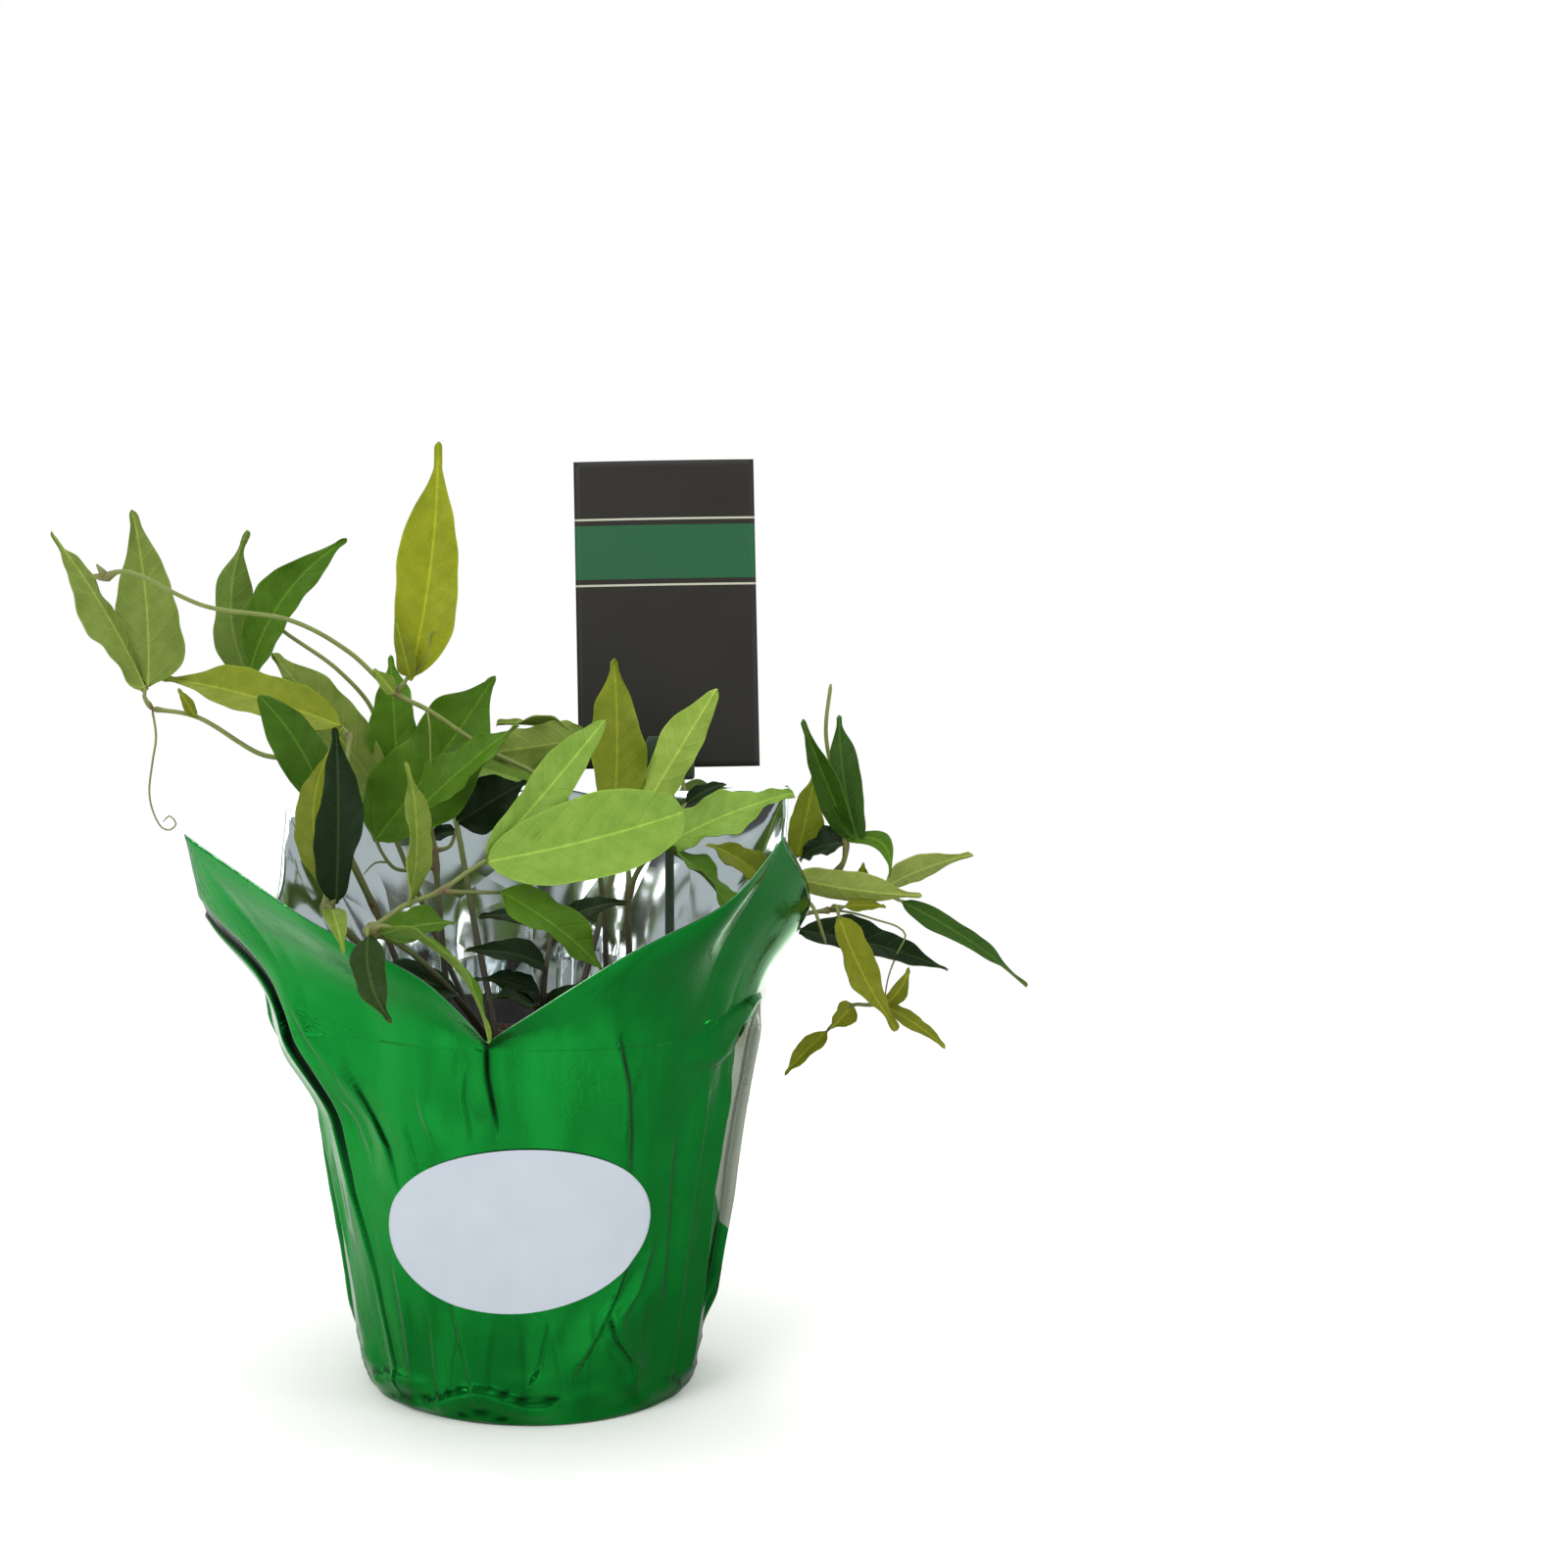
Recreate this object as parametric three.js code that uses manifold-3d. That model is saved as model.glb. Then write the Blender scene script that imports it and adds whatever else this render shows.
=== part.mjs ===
// A young crossvine in a plastic nursery pot that is wrapped in one square sheet of floral foil.
// Millimetres, +Z up. The origin is the middle of the flat base, and the front of the plant faces -Y.

import * as THREE from 'three';
import { mergeVertices } from 'three/addons/utils/BufferGeometryUtils.js';
import Module from 'manifold-3d';

// Driving dimensions: clearance between neighbouring pieces, and the volume under which a scrap is no piece
const GAP = 0.35;
const SPECK_VOLUME = 0.01;

// Driving dimensions: nursery pot, 4.5 inch size
const POT_HEIGHT = 95;
const POT_BASE_RADIUS = 42.0;
const POT_BODY_RADIUS = 54.2;
const POT_RIM_RADIUS = 55.7;
const POT_RIM_HEIGHT = 8;
const POT_WALL = 1.2;
const DRAIN_RADIUS = 5;
const DRAIN_CIRCLE = 30;
const DRAIN_COUNT = 5;
const POT_SEGMENTS = 24;

// Driving dimensions: foil wrap, with the turn at which it stands loose from the pot
const FOIL_SHEET = 0.9;
const FOIL_BASE_RADIUS = 43.7;
const FOIL_RIM_RADIUS = 57.9;
const FOIL_RIM_Z = 96;
const FOIL_COLUMNS = 56;
const FOIL_WALL_HEIGHTS = [0, 2.5, 26, 50, 74, FOIL_RIM_Z];
const FOIL_SKIRT_STEPS = [0.33, 0.67, 1];
const FOIL_FLARE = 1.15;
const FOOT_INSET = 1;
const PLEAT_DEPTH = 2;
const FOIL_SLACK = 9;
const SLACK_FROM_Z = 72;
const SLACK_ANGLE = THREE.MathUtils.degToRad(190);

// Where the pot and the soil start, above the foil that they stand on
const POT_FLOOR_Z = FOIL_SHEET + GAP;
const SOIL_FLOOR_Z = POT_FLOOR_Z + POT_WALL + GAP;

// Driving dimensions: soil, and how far up a drill stands out of it
const SOIL_Z = 86;
const SOIL_LUMP = 1;
const DRILL_CLEAR = 6;
const ROOT_DEPTH = 8;
const ROOT_CLEARANCE = 0.7;

// Driving dimensions: sticker, card and pick
const LABEL_WIDTH = 69;
const LABEL_HEIGHT = 41.5;
const LABEL_Z = 51;
const LABEL_ANGLE = THREE.MathUtils.degToRad(-94);
const LABEL_SHEET = 0.6;
const LABEL_GAP = 0.55;
const CARD_WIDTH = 50;
const CARD_HEIGHT = 85.5;
const CARD_SHEET = 0.7;
const CARD_BOTTOM = [38.5, 28, 161];
const CARD_TILT = THREE.MathUtils.degToRad(1);
const CARD_LEAN = THREE.MathUtils.degToRad(8);
const PICK_WIDTH = 3.4;
const PICK_DEPTH = 2.4;
const PICK_CLIP = [14, 3.2, 12];
const PICK_LENGTH = 97;

// Driving dimensions: leaves and stems
const BLADE_SHEET = 0.7;
const BLADE_ROOT = 0.9;
const BLADE_FOLD = 0.28;
const BLADE_WAVE = 0.075;
const WIDE_BLADE = 14;
const BLADE_ROWS = [-0.06, 0.04, 0.18, 0.37, 0.58, 0.79, 1];
const SMALL_BLADE_ROWS = [-0.08, 0.12, 0.4, 0.7, 1];
const SMALL_BLADE = 6;
const STALK_RADIUS = 0.75;
const BRANCH_SHARE = 0.8;
const TENDRIL_RADIUS = 0.45;
const STEM_SIDES = 5;
const STEM_STEP = 9;
const STALK_SIDES = 4;
const STALK_STEP = 6;
const TENDRIL_STEP = 4;

// Ways that the upper side of a leaf can face
const FRONT = [0, -1, 0.15];
const BACK = [0, 1, 0.1];
const UP = [0, 0, 1];
const FRONT_UP = [0, -0.7, 0.7];
const BACK_UP = [0, 0.7, 0.7];
const LEFT_FRONT = [-0.6, -0.8, 0.1];
const LEFT_BACK = [-0.75, 0.6, 0.2];
const RIGHT_FRONT = [0.7, -0.7, 0.1];
const RIGHT_UP = [0.6, -0.4, 0.7];

// Solids: closed geometry in, joined or cut geometry out
const wasm = await Module();
wasm.setup();

function toSolid(geometry) {
  const plain = geometry.clone();
  plain.deleteAttribute('normal');
  plain.deleteAttribute('uv');
  const merged = mergeVertices(plain, 1e-4);
  return new wasm.Manifold(new wasm.Mesh({
    numProp: 3,
    vertProperties: new Float32Array(merged.attributes.position.array),
    triVerts: new Uint32Array(merged.index.array),
  }));
}

function toGeometry(solid) {
  const mesh = solid.getMesh();
  const geometry = new THREE.BufferGeometry();
  geometry.setAttribute('position', new THREE.BufferAttribute(mesh.vertProperties, 3));
  geometry.setIndex(new THREE.BufferAttribute(mesh.triVerts, 1));
  geometry.computeVertexNormals();
  return geometry;
}

// The scraps and sealed specks that fusing can leave between two leaves are dropped
function join(geometries) {
  const fused = geometries.map(toSolid).reduce((whole, piece) => whole.add(piece));
  return toGeometry(wasm.Manifold.compose(fused.decompose().filter((body) => body.volume() > SPECK_VOLUME)));
}

function cut(geometry, tools) {
  return toGeometry(tools.map(toSolid).reduce((whole, tool) => whole.subtract(tool), toSolid(geometry)));
}

// Repeatable random numbers from 0 to 1
function seededRandom(seed) {
  let state = seed;
  return () => {
    state = (state * 1664525 + 1013904223) % 4294967296;
    return state / 4294967296;
  };
}

function smooth(from, to, value) {
  return THREE.MathUtils.smoothstep(value, from, to);
}

const vector = (point) => new THREE.Vector3(...point);

// A thin sheet: the same grid of points on both faces, split into triangles alike, and closed at its borders
function sheet(front, back) {
  const rows = front.length;
  const columns = front[0].length;
  const points = [...front.flat(), ...back.flat()];
  const offset = rows * columns;
  const index = [];
  const quad = (a, b, c, d) => index.push(a, b, c, a, c, d);
  for (let i = 0; i < rows - 1; i += 1) {
    for (let j = 0; j < columns - 1; j += 1) {
      const a = i * columns + j;
      const c = a + columns + 1;
      index.push(a, a + 1, c, a, c, a + columns);
      index.push(offset + a, offset + c, offset + a + 1, offset + a, offset + a + columns, offset + c);
    }
  }
  for (let i = 0; i < rows - 1; i += 1) {
    const left = i * columns;
    const right = left + columns - 1;
    quad(left, left + columns, offset + left + columns, offset + left);
    quad(right, offset + right, offset + right + columns, right + columns);
  }
  for (let j = 0; j < columns - 1; j += 1) {
    const last = (rows - 1) * columns + j;
    quad(j, offset + j, offset + j + 1, j + 1);
    quad(last, last + 1, offset + last + 1, offset + last);
  }
  const geometry = new THREE.BufferGeometry();
  geometry.setAttribute('position', new THREE.Float32BufferAttribute(points.flatMap((p) => p.toArray()), 3));
  geometry.setIndex(index);
  return geometry;
}

// Round stem along a smooth path
function tube(path, radius, sides = STEM_SIDES, step = STEM_STEP) {
  const curve = new THREE.CatmullRomCurve3(path.map(vector), false, 'centripetal');
  const section = new THREE.Shape();
  for (let k = 0; k < sides; k += 1) {
    const angle = (k / sides) * Math.PI * 2;
    const x = radius * Math.cos(angle);
    const y = radius * Math.sin(angle);
    if (k === 0) section.moveTo(x, y);
    else section.lineTo(x, y);
  }
  section.closePath();
  const steps = Math.max(2, Math.round(curve.getLength() / step));
  return new THREE.ExtrudeGeometry(section, { steps, extrudePath: curve, curveSegments: 1 });
}

// Leaf outline: how fast the blade opens from its foot and closes to its tip
const LANCE = { foot: 0.45, point: 0.9 };
const BROAD = { foot: 0.5, point: 0.55 };
const SLIM = { foot: 0.6, point: 1.15 };

function bladeWidth(t, { foot, point }) {
  const shape = (s) => Math.max(s, 0) ** foot * (1 - s) ** point;
  return shape(t) / shape(foot / (foot + point));
}

// One leaf blade with a folded midrib and waved edges. Its first row is sunk in the stalk that carries it
function blade(leaf, random) {
  const base = vector(leaf.base);
  const chord = vector(leaf.tip).sub(base);
  const along = chord.clone().normalize();
  const normal = vector(leaf.face).addScaledVector(along, -along.dot(vector(leaf.face))).normalize();
  const across = along.clone().cross(normal);
  const fold = BLADE_FOLD * (0.65 + 0.7 * random());
  const wave = BLADE_WAVE * leaf.width * (0.65 + 0.7 * random());
  const waves = 1.5 + random();
  const phase = random() * Math.PI * 2;
  const twist = THREE.MathUtils.degToRad(leaf.twist);
  const sides = leaf.width > WIDE_BLADE ? [-1, -0.5, 0, 0.5, 1] : [-1, 0, 1];
  const centre = (t) => {
    const bow = 4 * Math.max(t, 0) * (1 - t);
    return base.clone()
      .addScaledVector(chord, t)
      .addScaledVector(normal, leaf.sag * bow)
      .addScaledVector(across, leaf.bend * bow);
  };
  const front = [];
  const back = [];
  const steps = leaf.width < SMALL_BLADE ? SMALL_BLADE_ROWS : BLADE_ROWS;
  steps.forEach((t) => {
    const turn = twist * (t - 0.5);
    const side = across.clone().multiplyScalar(Math.cos(turn)).addScaledVector(normal, Math.sin(turn));
    const rise = normal.clone().multiplyScalar(Math.cos(turn)).addScaledVector(across, -Math.sin(turn));
    const half = Math.max(BLADE_ROOT / 2, (leaf.width / 2) * bladeWidth(t, leaf.form));
    const row = sides.map((s) => {
      const ripple = wave * Math.sin(Math.PI * 2 * waves * t + phase + s * 1.1) * s * s;
      const lift = Math.abs(s) * half * fold + ripple;
      return centre(t).addScaledVector(side, s * half).addScaledVector(rise, lift);
    });
    front.push(row.map((p) => p.clone().addScaledVector(rise, BLADE_SHEET / 2)));
    back.push(row.map((p) => p.clone().addScaledVector(rise, -BLADE_SHEET / 2)));
  });
  return sheet(front, back);
}

const leaf = (base, tip, width, face, sag = 2, bend = 0, twist = 0, form = LANCE) => (
  { base, tip, width, face, sag, bend, twist, form });

// One vine: its main stem from the soil, side branches, leaf stalks, leaves and tendrils, fused in one body
function vine(plan, seed) {
  const random = seededRandom(seed);
  const [x, y] = plan.root;
  const rooted = [[x, y, SOIL_Z - ROOT_DEPTH], [x, y, SOIL_Z + 2], ...plan.path];
  const pieces = [tube(rooted, plan.radius)];
  const branchRadius = plan.radius * BRANCH_SHARE;
  plan.branches.forEach((path) => pieces.push(tube(path, branchRadius, STALK_SIDES, STALK_STEP)));
  plan.stalks.forEach((path) => pieces.push(tube(path, STALK_RADIUS, STALK_SIDES, STALK_STEP)));
  plan.tendrils.forEach((path) => pieces.push(tube(path, TENDRIL_RADIUS, STALK_SIDES, TENDRIL_STEP)));
  plan.leaves.forEach((item) => pieces.push(blade(item, random)));
  return join(pieces);
}

// Vines at the front and left
const VINES = {
  vine_left_tip: {
    radius: 0.95,
    root: [-26, -14],
    path: [[-34, -15, 112], [-46, -16, 140], [-58, -16, 162], [-68, -18, 165], [-83, -20, 174],
      [-94, -20, 176]],
    branches: [],
    stalks: [
      [[-94, -20, 176], [-96, -19.5, 179], [-95.5, -19, 182]],
      [[-40, -16, 126], [-45, -22, 138], [-50, -26, 150]],
    ],
    leaves: [
      leaf([-96, -19, 181], [-120, -12, 220], 11, LEFT_BACK, -2, 0, 20, SLIM),
      leaf([-95, -19, 182], [-99, -14, 225], 16, BACK, 2, -1),
      leaf([-50, -26, 150], [-66, -30, 179], 10, FRONT, 2),
      leaf([-83, -21, 174], [-87, -22, 181], 3, FRONT, 1),
    ],
    tendrils: [
      [[-94, -20, 176], [-93, -21, 169], [-94, -21, 163], [-95, -21, 155], [-94, -21, 150],
        [-92, -21, 146.5], [-90, -21, 146], [-88.5, -21, 147.5], [-90, -21.5, 149.5], [-91.5, -22.4, 148]],
    ],
  },
  vine_left_mid: {
    radius: 0.9,
    root: [-14, 8],
    path: [[-26, 9, 118], [-38, 8, 149], [-41, 13, 164], [-42, 14, 176], [-51, 13, 187], [-65, 12, 197],
      [-71, 12, 202]],
    branches: [],
    stalks: [
      [[-41, 13, 164], [-48, 16, 169], [-60, 17, 176], [-70, 16, 181], [-75, 13, 185]],
      [[-36, 8, 145], [-35, 7, 151], [-35, 9, 158]],
      [[-38, 8, 149], [-39.5, 6, 153], [-40, 4, 156]],
    ],
    leaves: [
      leaf([-40, 4, 156], [-67, 2, 191], 17, BACK, 2, 0, 0, BROAD),
      leaf([-35, 9, 158], [-37, 10, 191], 13, FRONT, 1),
      leaf([-75, 13, 185], [-75, 16, 224], 12, BACK, 2, 5, 25),
      leaf([-75, 12.5, 185.5], [-48, 8, 221], 12, FRONT, 2, -4, -30),
    ],
    tendrils: [],
  },
  vine_front_left: {
    radius: 1.1,
    root: [-22, -28],
    path: [[-33, -37, 110], [-43, -44, 122], [-48, -46, 128], [-48, -42, 134], [-46, -32, 146],
      [-46, -22, 160], [-45, -16, 170]],
    branches: [],
    stalks: [
      [[-48, -46, 128], [-46, -46, 130.5]],
      [[-48, -46, 128], [-47.3, -49, 129], [-46.5, -51, 128.5]],
      [[-45, -16, 169], [-48, -15, 172]],
    ],
    leaves: [
      leaf([-46, -46, 130], [-45, -42, 171], 12, FRONT, 2, 0, 0, BROAD),
      leaf([-47, -44, 132], [-45, -36, 171], 9, LEFT_FRONT, 2, -6, 30),
      leaf([-48, -15, 172], [-93, -12, 184], 16, FRONT_UP, 2, 0, 0, BROAD),
      leaf([-46.5, -51, 128.5], [-42, -67, 120], 5, FRONT_UP, 2),
    ],
    tendrils: [],
  },
  vine_front: {
    radius: 1.1,
    root: [-8, -26],
    path: [[-18, -38, 106], [-30, -52, 120], [-37, -58, 124]],
    branches: [
      [[-37, -58, 124], [-29, -58, 130], [-21, -55, 133], [-15, -50, 137], [-10, -46, 140]],
    ],
    stalks: [
      [[-20, -55, 133], [-14, -50, 132.5], [-7, -44, 132]],
      [[-37, -58, 124], [-34, -60, 125.5], [-31, -60, 125]],
      [[-37, -58, 124], [-37.5, -60.5, 124.3], [-37, -62, 123]],
    ],
    leaves: [
      leaf([-10, -46, 139.5], [36, -38, 150], 18, FRONT, 2, 2, 0, BROAD),
      leaf([-10, -45.5, 140.5], [18, -34, 173], 10, FRONT, 1, 0.5, 0, BROAD),
      leaf([-7, -44, 132], [19, -40, 111], 11, FRONT_UP, 3),
      leaf([-28, -57.5, 130], [-29, -48, 163], 8, RIGHT_FRONT, 1, 2, 60),
      leaf([-35, -56, 123], [-18, -46, 125], 10, FRONT_UP, 1),
      leaf([-31, -60, 125], [-9, -70, 100], 7, [0.65, 0.1, 0.75], 5),
      leaf([-37, -62, 123], [-31, -73, 105], 8, FRONT, 1, 2),
      leaf([-18, -38, 107], [-38, -52, 115], 9, FRONT_UP, 1),
    ],
    tendrils: [],
  },
  vine_runner: {
    radius: 0.85,
    root: [20, 2],
    path: [[20, 2, 110], [19, 0, 128], [15, -4, 145], [4, -6, 158], [-11, -10, 166], [-26, -14, 176],
      [-34, -16, 180], [-45, -20, 190], [-58, -26, 197], [-78, -33, 200], [-97, -35, 208], [-102, -35, 206]],
    branches: [
      [[-101, -35, 206.5], [-105, -35, 207]],
      [[-101, -35, 206.5], [-103, -36, 209.5]],
    ],
    stalks: [
      [[-34, -16, 180], [-32, -16, 182], [-30, -16, 185]],
    ],
    leaves: [
      leaf([-30, -16, 184], [-23, -12, 242], 16, FRONT, 2, 2, 0, SLIM),
      leaf([-30, -17, 184], [-33, -21, 197], 5, FRONT, 1),
      leaf([-34, -17, 180], [-39, -18, 186], 4, FRONT, 0.5),
    ],
    tendrils: [
      [[-30, -16, 184], [-27, -17, 187], [-25, -17.5, 191], [-24.6, -18, 194.5], [-23.2, -18, 195],
        [-22.8, -18, 192], [-23.4, -18, 190]],
      [[-26, -14, 176], [-25.3, -16, 172], [-25, -16.5, 162]],
    ],
  },
  vine_dark_centre: {
    radius: 1.1,
    root: [-20, -6],
    path: [[-22, -6, 106], [-25, -6, 141], [-26, -9, 148], [-27, -15, 152]],
    branches: [],
    stalks: [
      [[-24.5, -6, 136], [-30, -6, 135], [-35, -6.5, 135.5], [-38, -6.5, 139], [-40, -6, 143]],
      [[-25, -6, 140], [-21, -2, 141], [-19.5, 1, 145], [-19, 3, 147.5]],
    ],
    leaves: [
      leaf([-27, -14.8, 152], [-3, -20, 172], 12, FRONT_UP, 1, 0, 20),
      leaf([-40, -6, 143], [-9, -3, 185], 23, FRONT, 1, 1, 0, BROAD),
      leaf([-19, 3, 147], [-1, 8, 158], 13, FRONT, 1),
      leaf([-19.5, 1, 144.5], [-28, 3, 142], 5, FRONT_UP, 1),
    ],
    tendrils: [
      [[-36, -6.5, 137], [-40, -8, 137], [-43, -9, 134]],
    ],
  },

  // Vines at the centre and right
  vine_centre: {
    radius: 1.2,
    root: [26, -2],
    path: [[26, -2, 113], [26, -2, 129], [31, -4, 139], [34, -6, 141]],
    branches: [
      [[26, -2, 129], [25.5, 2, 138], [24, 5, 144], [22, 6, 148]],
      [[25.5, 2, 138], [22, 9, 146], [19, 13, 156], [17, 11, 167], [16, 7, 169]],
    ],
    stalks: [
      [[25, 3, 141], [27, 4, 146], [29, 4, 149.5]],
      [[31, -4, 139], [36, 4, 146], [42, 12, 152]],
    ],
    leaves: [
      leaf([22, 6, 147], [22, 10, 190], 14, FRONT, 1, 1, 0, BROAD),
      leaf([29, 4, 149], [49, 6, 182], 11, BACK, 1, 0, 0, BROAD),
      leaf([34, -6, 141], [67, -12, 155], 14, FRONT_UP, 2, 0, 0, BROAD),
      leaf([34, -7, 141], [53, -28, 118], 11, RIGHT_UP, 4),
      leaf([16, 6, 169], [-12, 0, 165], 12, BACK, 1, 0, 0, BROAD),
      leaf([17, 10, 168], [-9, 12, 173], 9, UP, 2),
      leaf([42, 12, 152], [53, 16, 157], 5, FRONT_UP, 1),
    ],
    tendrils: [],
  },
  vine_right_up: {
    radius: 1.0,
    root: [32, 12],
    path: [[42, 11, 108], [54, 7, 122], [64, 2, 130], [74, 0, 131], [81, -4, 136], [82, -6, 143]],
    branches: [
      [[82, -5, 141], [80, -1, 155], [77, 0, 170], [78, 0, 183]],
      [[80, -3.5, 135], [83, -6, 133], [86, -6, 132], [92, -8, 131]],
    ],
    stalks: [
      [[64, 2, 130], [68, 5, 134], [71, 6, 138]],
      [[64, 2, 130], [66, -3, 132], [69, -6, 133]],
      [[86, -6, 132], [91, -9, 129.5], [96, -10, 127]],
      [[56, 6, 124], [60, 6, 129], [62, 5, 132]],
    ],
    leaves: [
      leaf([83, -6.5, 143], [68, -12, 173], 10, LEFT_FRONT, 1, 0, -20),
      leaf([83, -6, 143], [79, -2, 174], 11, FRONT, 1, 2),
      leaf([82, -5, 142], [71, 2, 137], 9, FRONT_UP, 2),
      leaf([82, -7, 143], [92, -12, 134], 6, UP, 6),
      leaf([71, 6, 138], [75, 4, 160], 9, FRONT, 1),
      leaf([92, -8, 131], [115, -4, 139], 7, BACK_UP, 2),
      leaf([69, -6, 133], [100, -14, 129], 8, BACK_UP, -2),
      leaf([96, -10, 127], [127, -16, 106], 8, FRONT_UP, 2, 0, 80),
      leaf([62, 5, 131.5], [47, 9, 141], 9, FRONT_UP, 2),
      leaf([85.5, -6, 132], [86, -8, 137], 3, FRONT, 0.5),
    ],
    tendrils: [],
  },
  vine_right_low: {
    radius: 0.85,
    root: [36, -3],
    path: [[46, -4, 106], [58, -6, 118], [68, -7, 123], [78, -9, 125]],
    branches: [
      [[70, -7, 123.5], [71, -12, 127], [72, -16, 126], [75, -18, 117]],
    ],
    stalks: [
      [[78, -9, 125], [78.5, -12, 126], [79, -14, 123]],
      [[67, -7, 122.5], [69, -5, 121], [71, -4, 119]],
      [[78, -9, 125], [81, -11, 126]],
      [[91.5, -8, 100.5], [88, -8, 100], [84, -8, 100], [80, -9, 96.5], [77, -9, 93]],
    ],
    leaves: [
      leaf([79, -14, 123], [93, -20, 95], 8, RIGHT_FRONT, 1, 2),
      leaf([71, -4, 119], [109, -6, 109], 11, FRONT_UP, 2),
      leaf([81, -11, 126], [91, -13, 126], 4, FRONT_UP, 0.5),
      leaf([92, -8, 100], [98, -10, 110], 4.5, FRONT, 1, 1),
      leaf([92, -8, 100], [108, -10, 89], 5, FRONT_UP, 1),
      leaf([84, -8, 100], [78, -10, 94], 6, FRONT, 0.5),
      leaf([77, -9, 93], [66, -11, 82], 5, FRONT_UP, 1),
    ],
    tendrils: [
      [[78, -9, 125], [84, -10, 124], [89, -10, 122.5], [95, -9, 120.5], [97, -9, 118.5], [95, -8, 113],
        [93, -8, 107], [92, -8, 99.5]],
    ],
  },

  // Vines at the back
  vine_back_left: {
    radius: 1.1,
    root: [-10, 24],
    path: [[-16, 36, 118], [-22, 50, 148], [-27, 62, 163], [-34, 77, 163], [-40, 88, 152], [-46, 97, 138]],
    branches: [],
    stalks: [],
    leaves: [
      leaf([-23, 52, 152], [-60, 58, 168], 13, BACK_UP, 2),
      leaf([-27, 63, 163.5], [8, 82, 152], 13, BACK_UP, 3),
      leaf([-37, 82, 159], [-68, 104, 132], 14, BACK_UP, 5),
      leaf([-37, 82, 159], [-10, 108, 130], 13, BACK_UP, 5),
      leaf([-46, 97, 138], [-64, 108, 100], 12, BACK, 3),
      leaf([-46, 97, 138], [-38, 112, 98], 12, BACK, 3),
    ],
    tendrils: [],
  },
  vine_back_right: {
    radius: 1.1,
    root: [12, 24],
    path: [[20, 38, 118], [29, 52, 148], [36, 64, 168], [42, 78, 172], [47, 90, 160], [50, 98, 142]],
    branches: [],
    stalks: [],
    leaves: [
      leaf([31, 55.5, 154], [66, 62, 176], 13, BACK_UP, 2),
      leaf([32, 57, 157], [2, 70, 172], 13, BACK_UP, 2),
      leaf([41, 76, 172], [28, 84, 207], 13, BACK, 2),
      leaf([42, 78, 172], [70, 98, 192], 13, BACK_UP, 2),
      leaf([48, 93, 155], [78, 112, 132], 13, BACK_UP, 4),
      leaf([50, 98, 142], [28, 116, 108], 13, BACK, 4),
      leaf([50, 98, 142], [66, 112, 104], 12, BACK, 3),
    ],
    tendrils: [],
  },

  // Short dark shoots low in the pot
  shoots_low: {
    radius: 1.0,
    root: [2, -22],
    path: [[3, -24, 100], [4, -24, 112], [6, -18, 123]],
    branches: [],
    stalks: [],
    leaves: [
      leaf([4, -24, 112], [-16, -34, 117], 8, FRONT_UP, 2),
      leaf([3, -24, 104], [-14, -33, 110], 7, FRONT_UP, 2),
      leaf([6, -18.5, 122], [-13, -20, 124], 6, FRONT_UP, 2),
      leaf([6, -18.5, 122], [25, -12, 127], 6, FRONT_UP, 2),
      leaf([3, -24, 100], [-10, -46, 107], 8, FRONT_UP, 2),
      leaf([3, -24, 100], [24, -36, 108], 8, FRONT_UP, 2),
    ],
    tendrils: [],
  },
};

// Free edge of the foil sheet, seen from above in turn: four corners stand up, with a notch between each two
const FOIL_EDGE = [
  [-81, -50, 146], [-51, -60, 126.5], [-23, -62, 113], [-10, -62, 98.5], [4, -63, 108], [23, -64, 120],
  [47, -61, 131], [58, -60, 146], [67, -40, 134], [70, -25, 126], [66, 2, 111], [71, 30, 132],
  [76, 58, 156], [42, 69, 154], [0, 74, 155], [-38, 70, 153], [-72, 58, 149], [-70, 30, 129],
  [-72, 2, 112], [-80, -30, 124],
];

// Evenly spaced points on the free edge, with one at every named point
function foilEdge() {
  const following = (k) => vector(FOIL_EDGE[(k + 1) % FOIL_EDGE.length]);
  const lengths = FOIL_EDGE.map((p, k) => vector(p).distanceTo(following(k)));
  const total = lengths.reduce((sum, value) => sum + value, 0);
  const points = [];
  FOIL_EDGE.forEach((p, k) => {
    const count = Math.max(1, Math.round((FOIL_COLUMNS * lengths[k]) / total));
    for (let step = 0; step < count; step += 1) points.push(vector(p).lerp(following(k), step / count));
  });
  return points;
}

// Radius of the smooth wrapped wall at a height, without its pleats
function wallRadius(z) {
  return THREE.MathUtils.lerp(FOIL_BASE_RADIUS, FOIL_RIM_RADIUS, z / FOIL_RIM_Z);
}

// Smallest turn between two angles
function turnBetween(a, b) {
  return Math.abs(Math.atan2(Math.sin(a - b), Math.cos(a - b)));
}

// The wrap stands loose from the pot at its left side, near the rim
function slack(angle, z) {
  const share = 1 - smooth(0.25, 0.75, turnBetween(angle, SLACK_ANGLE));
  return FOIL_SLACK * share * smooth(SLACK_FROM_Z, FOIL_RIM_Z, z);
}

// Pleats stand outward only, nine broad and fifteen narrow ones, and die out at the foot and under the sticker
function pleat(angle, z) {
  const folds = 0.6 * Math.abs(Math.sin(4.5 * angle + 0.6)) + 0.4 * Math.abs(Math.sin(7.5 * angle + 1.4));
  const labelTop = LABEL_Z + LABEL_HEIGHT / 2;
  const beside = smooth(0.8, 1, turnBetween(angle, LABEL_ANGLE));
  const above = smooth(labelTop + 2, labelTop + 16, z);
  return PLEAT_DEPTH * folds * Math.max(beside, above) * smooth(0, 12, z);
}

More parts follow.
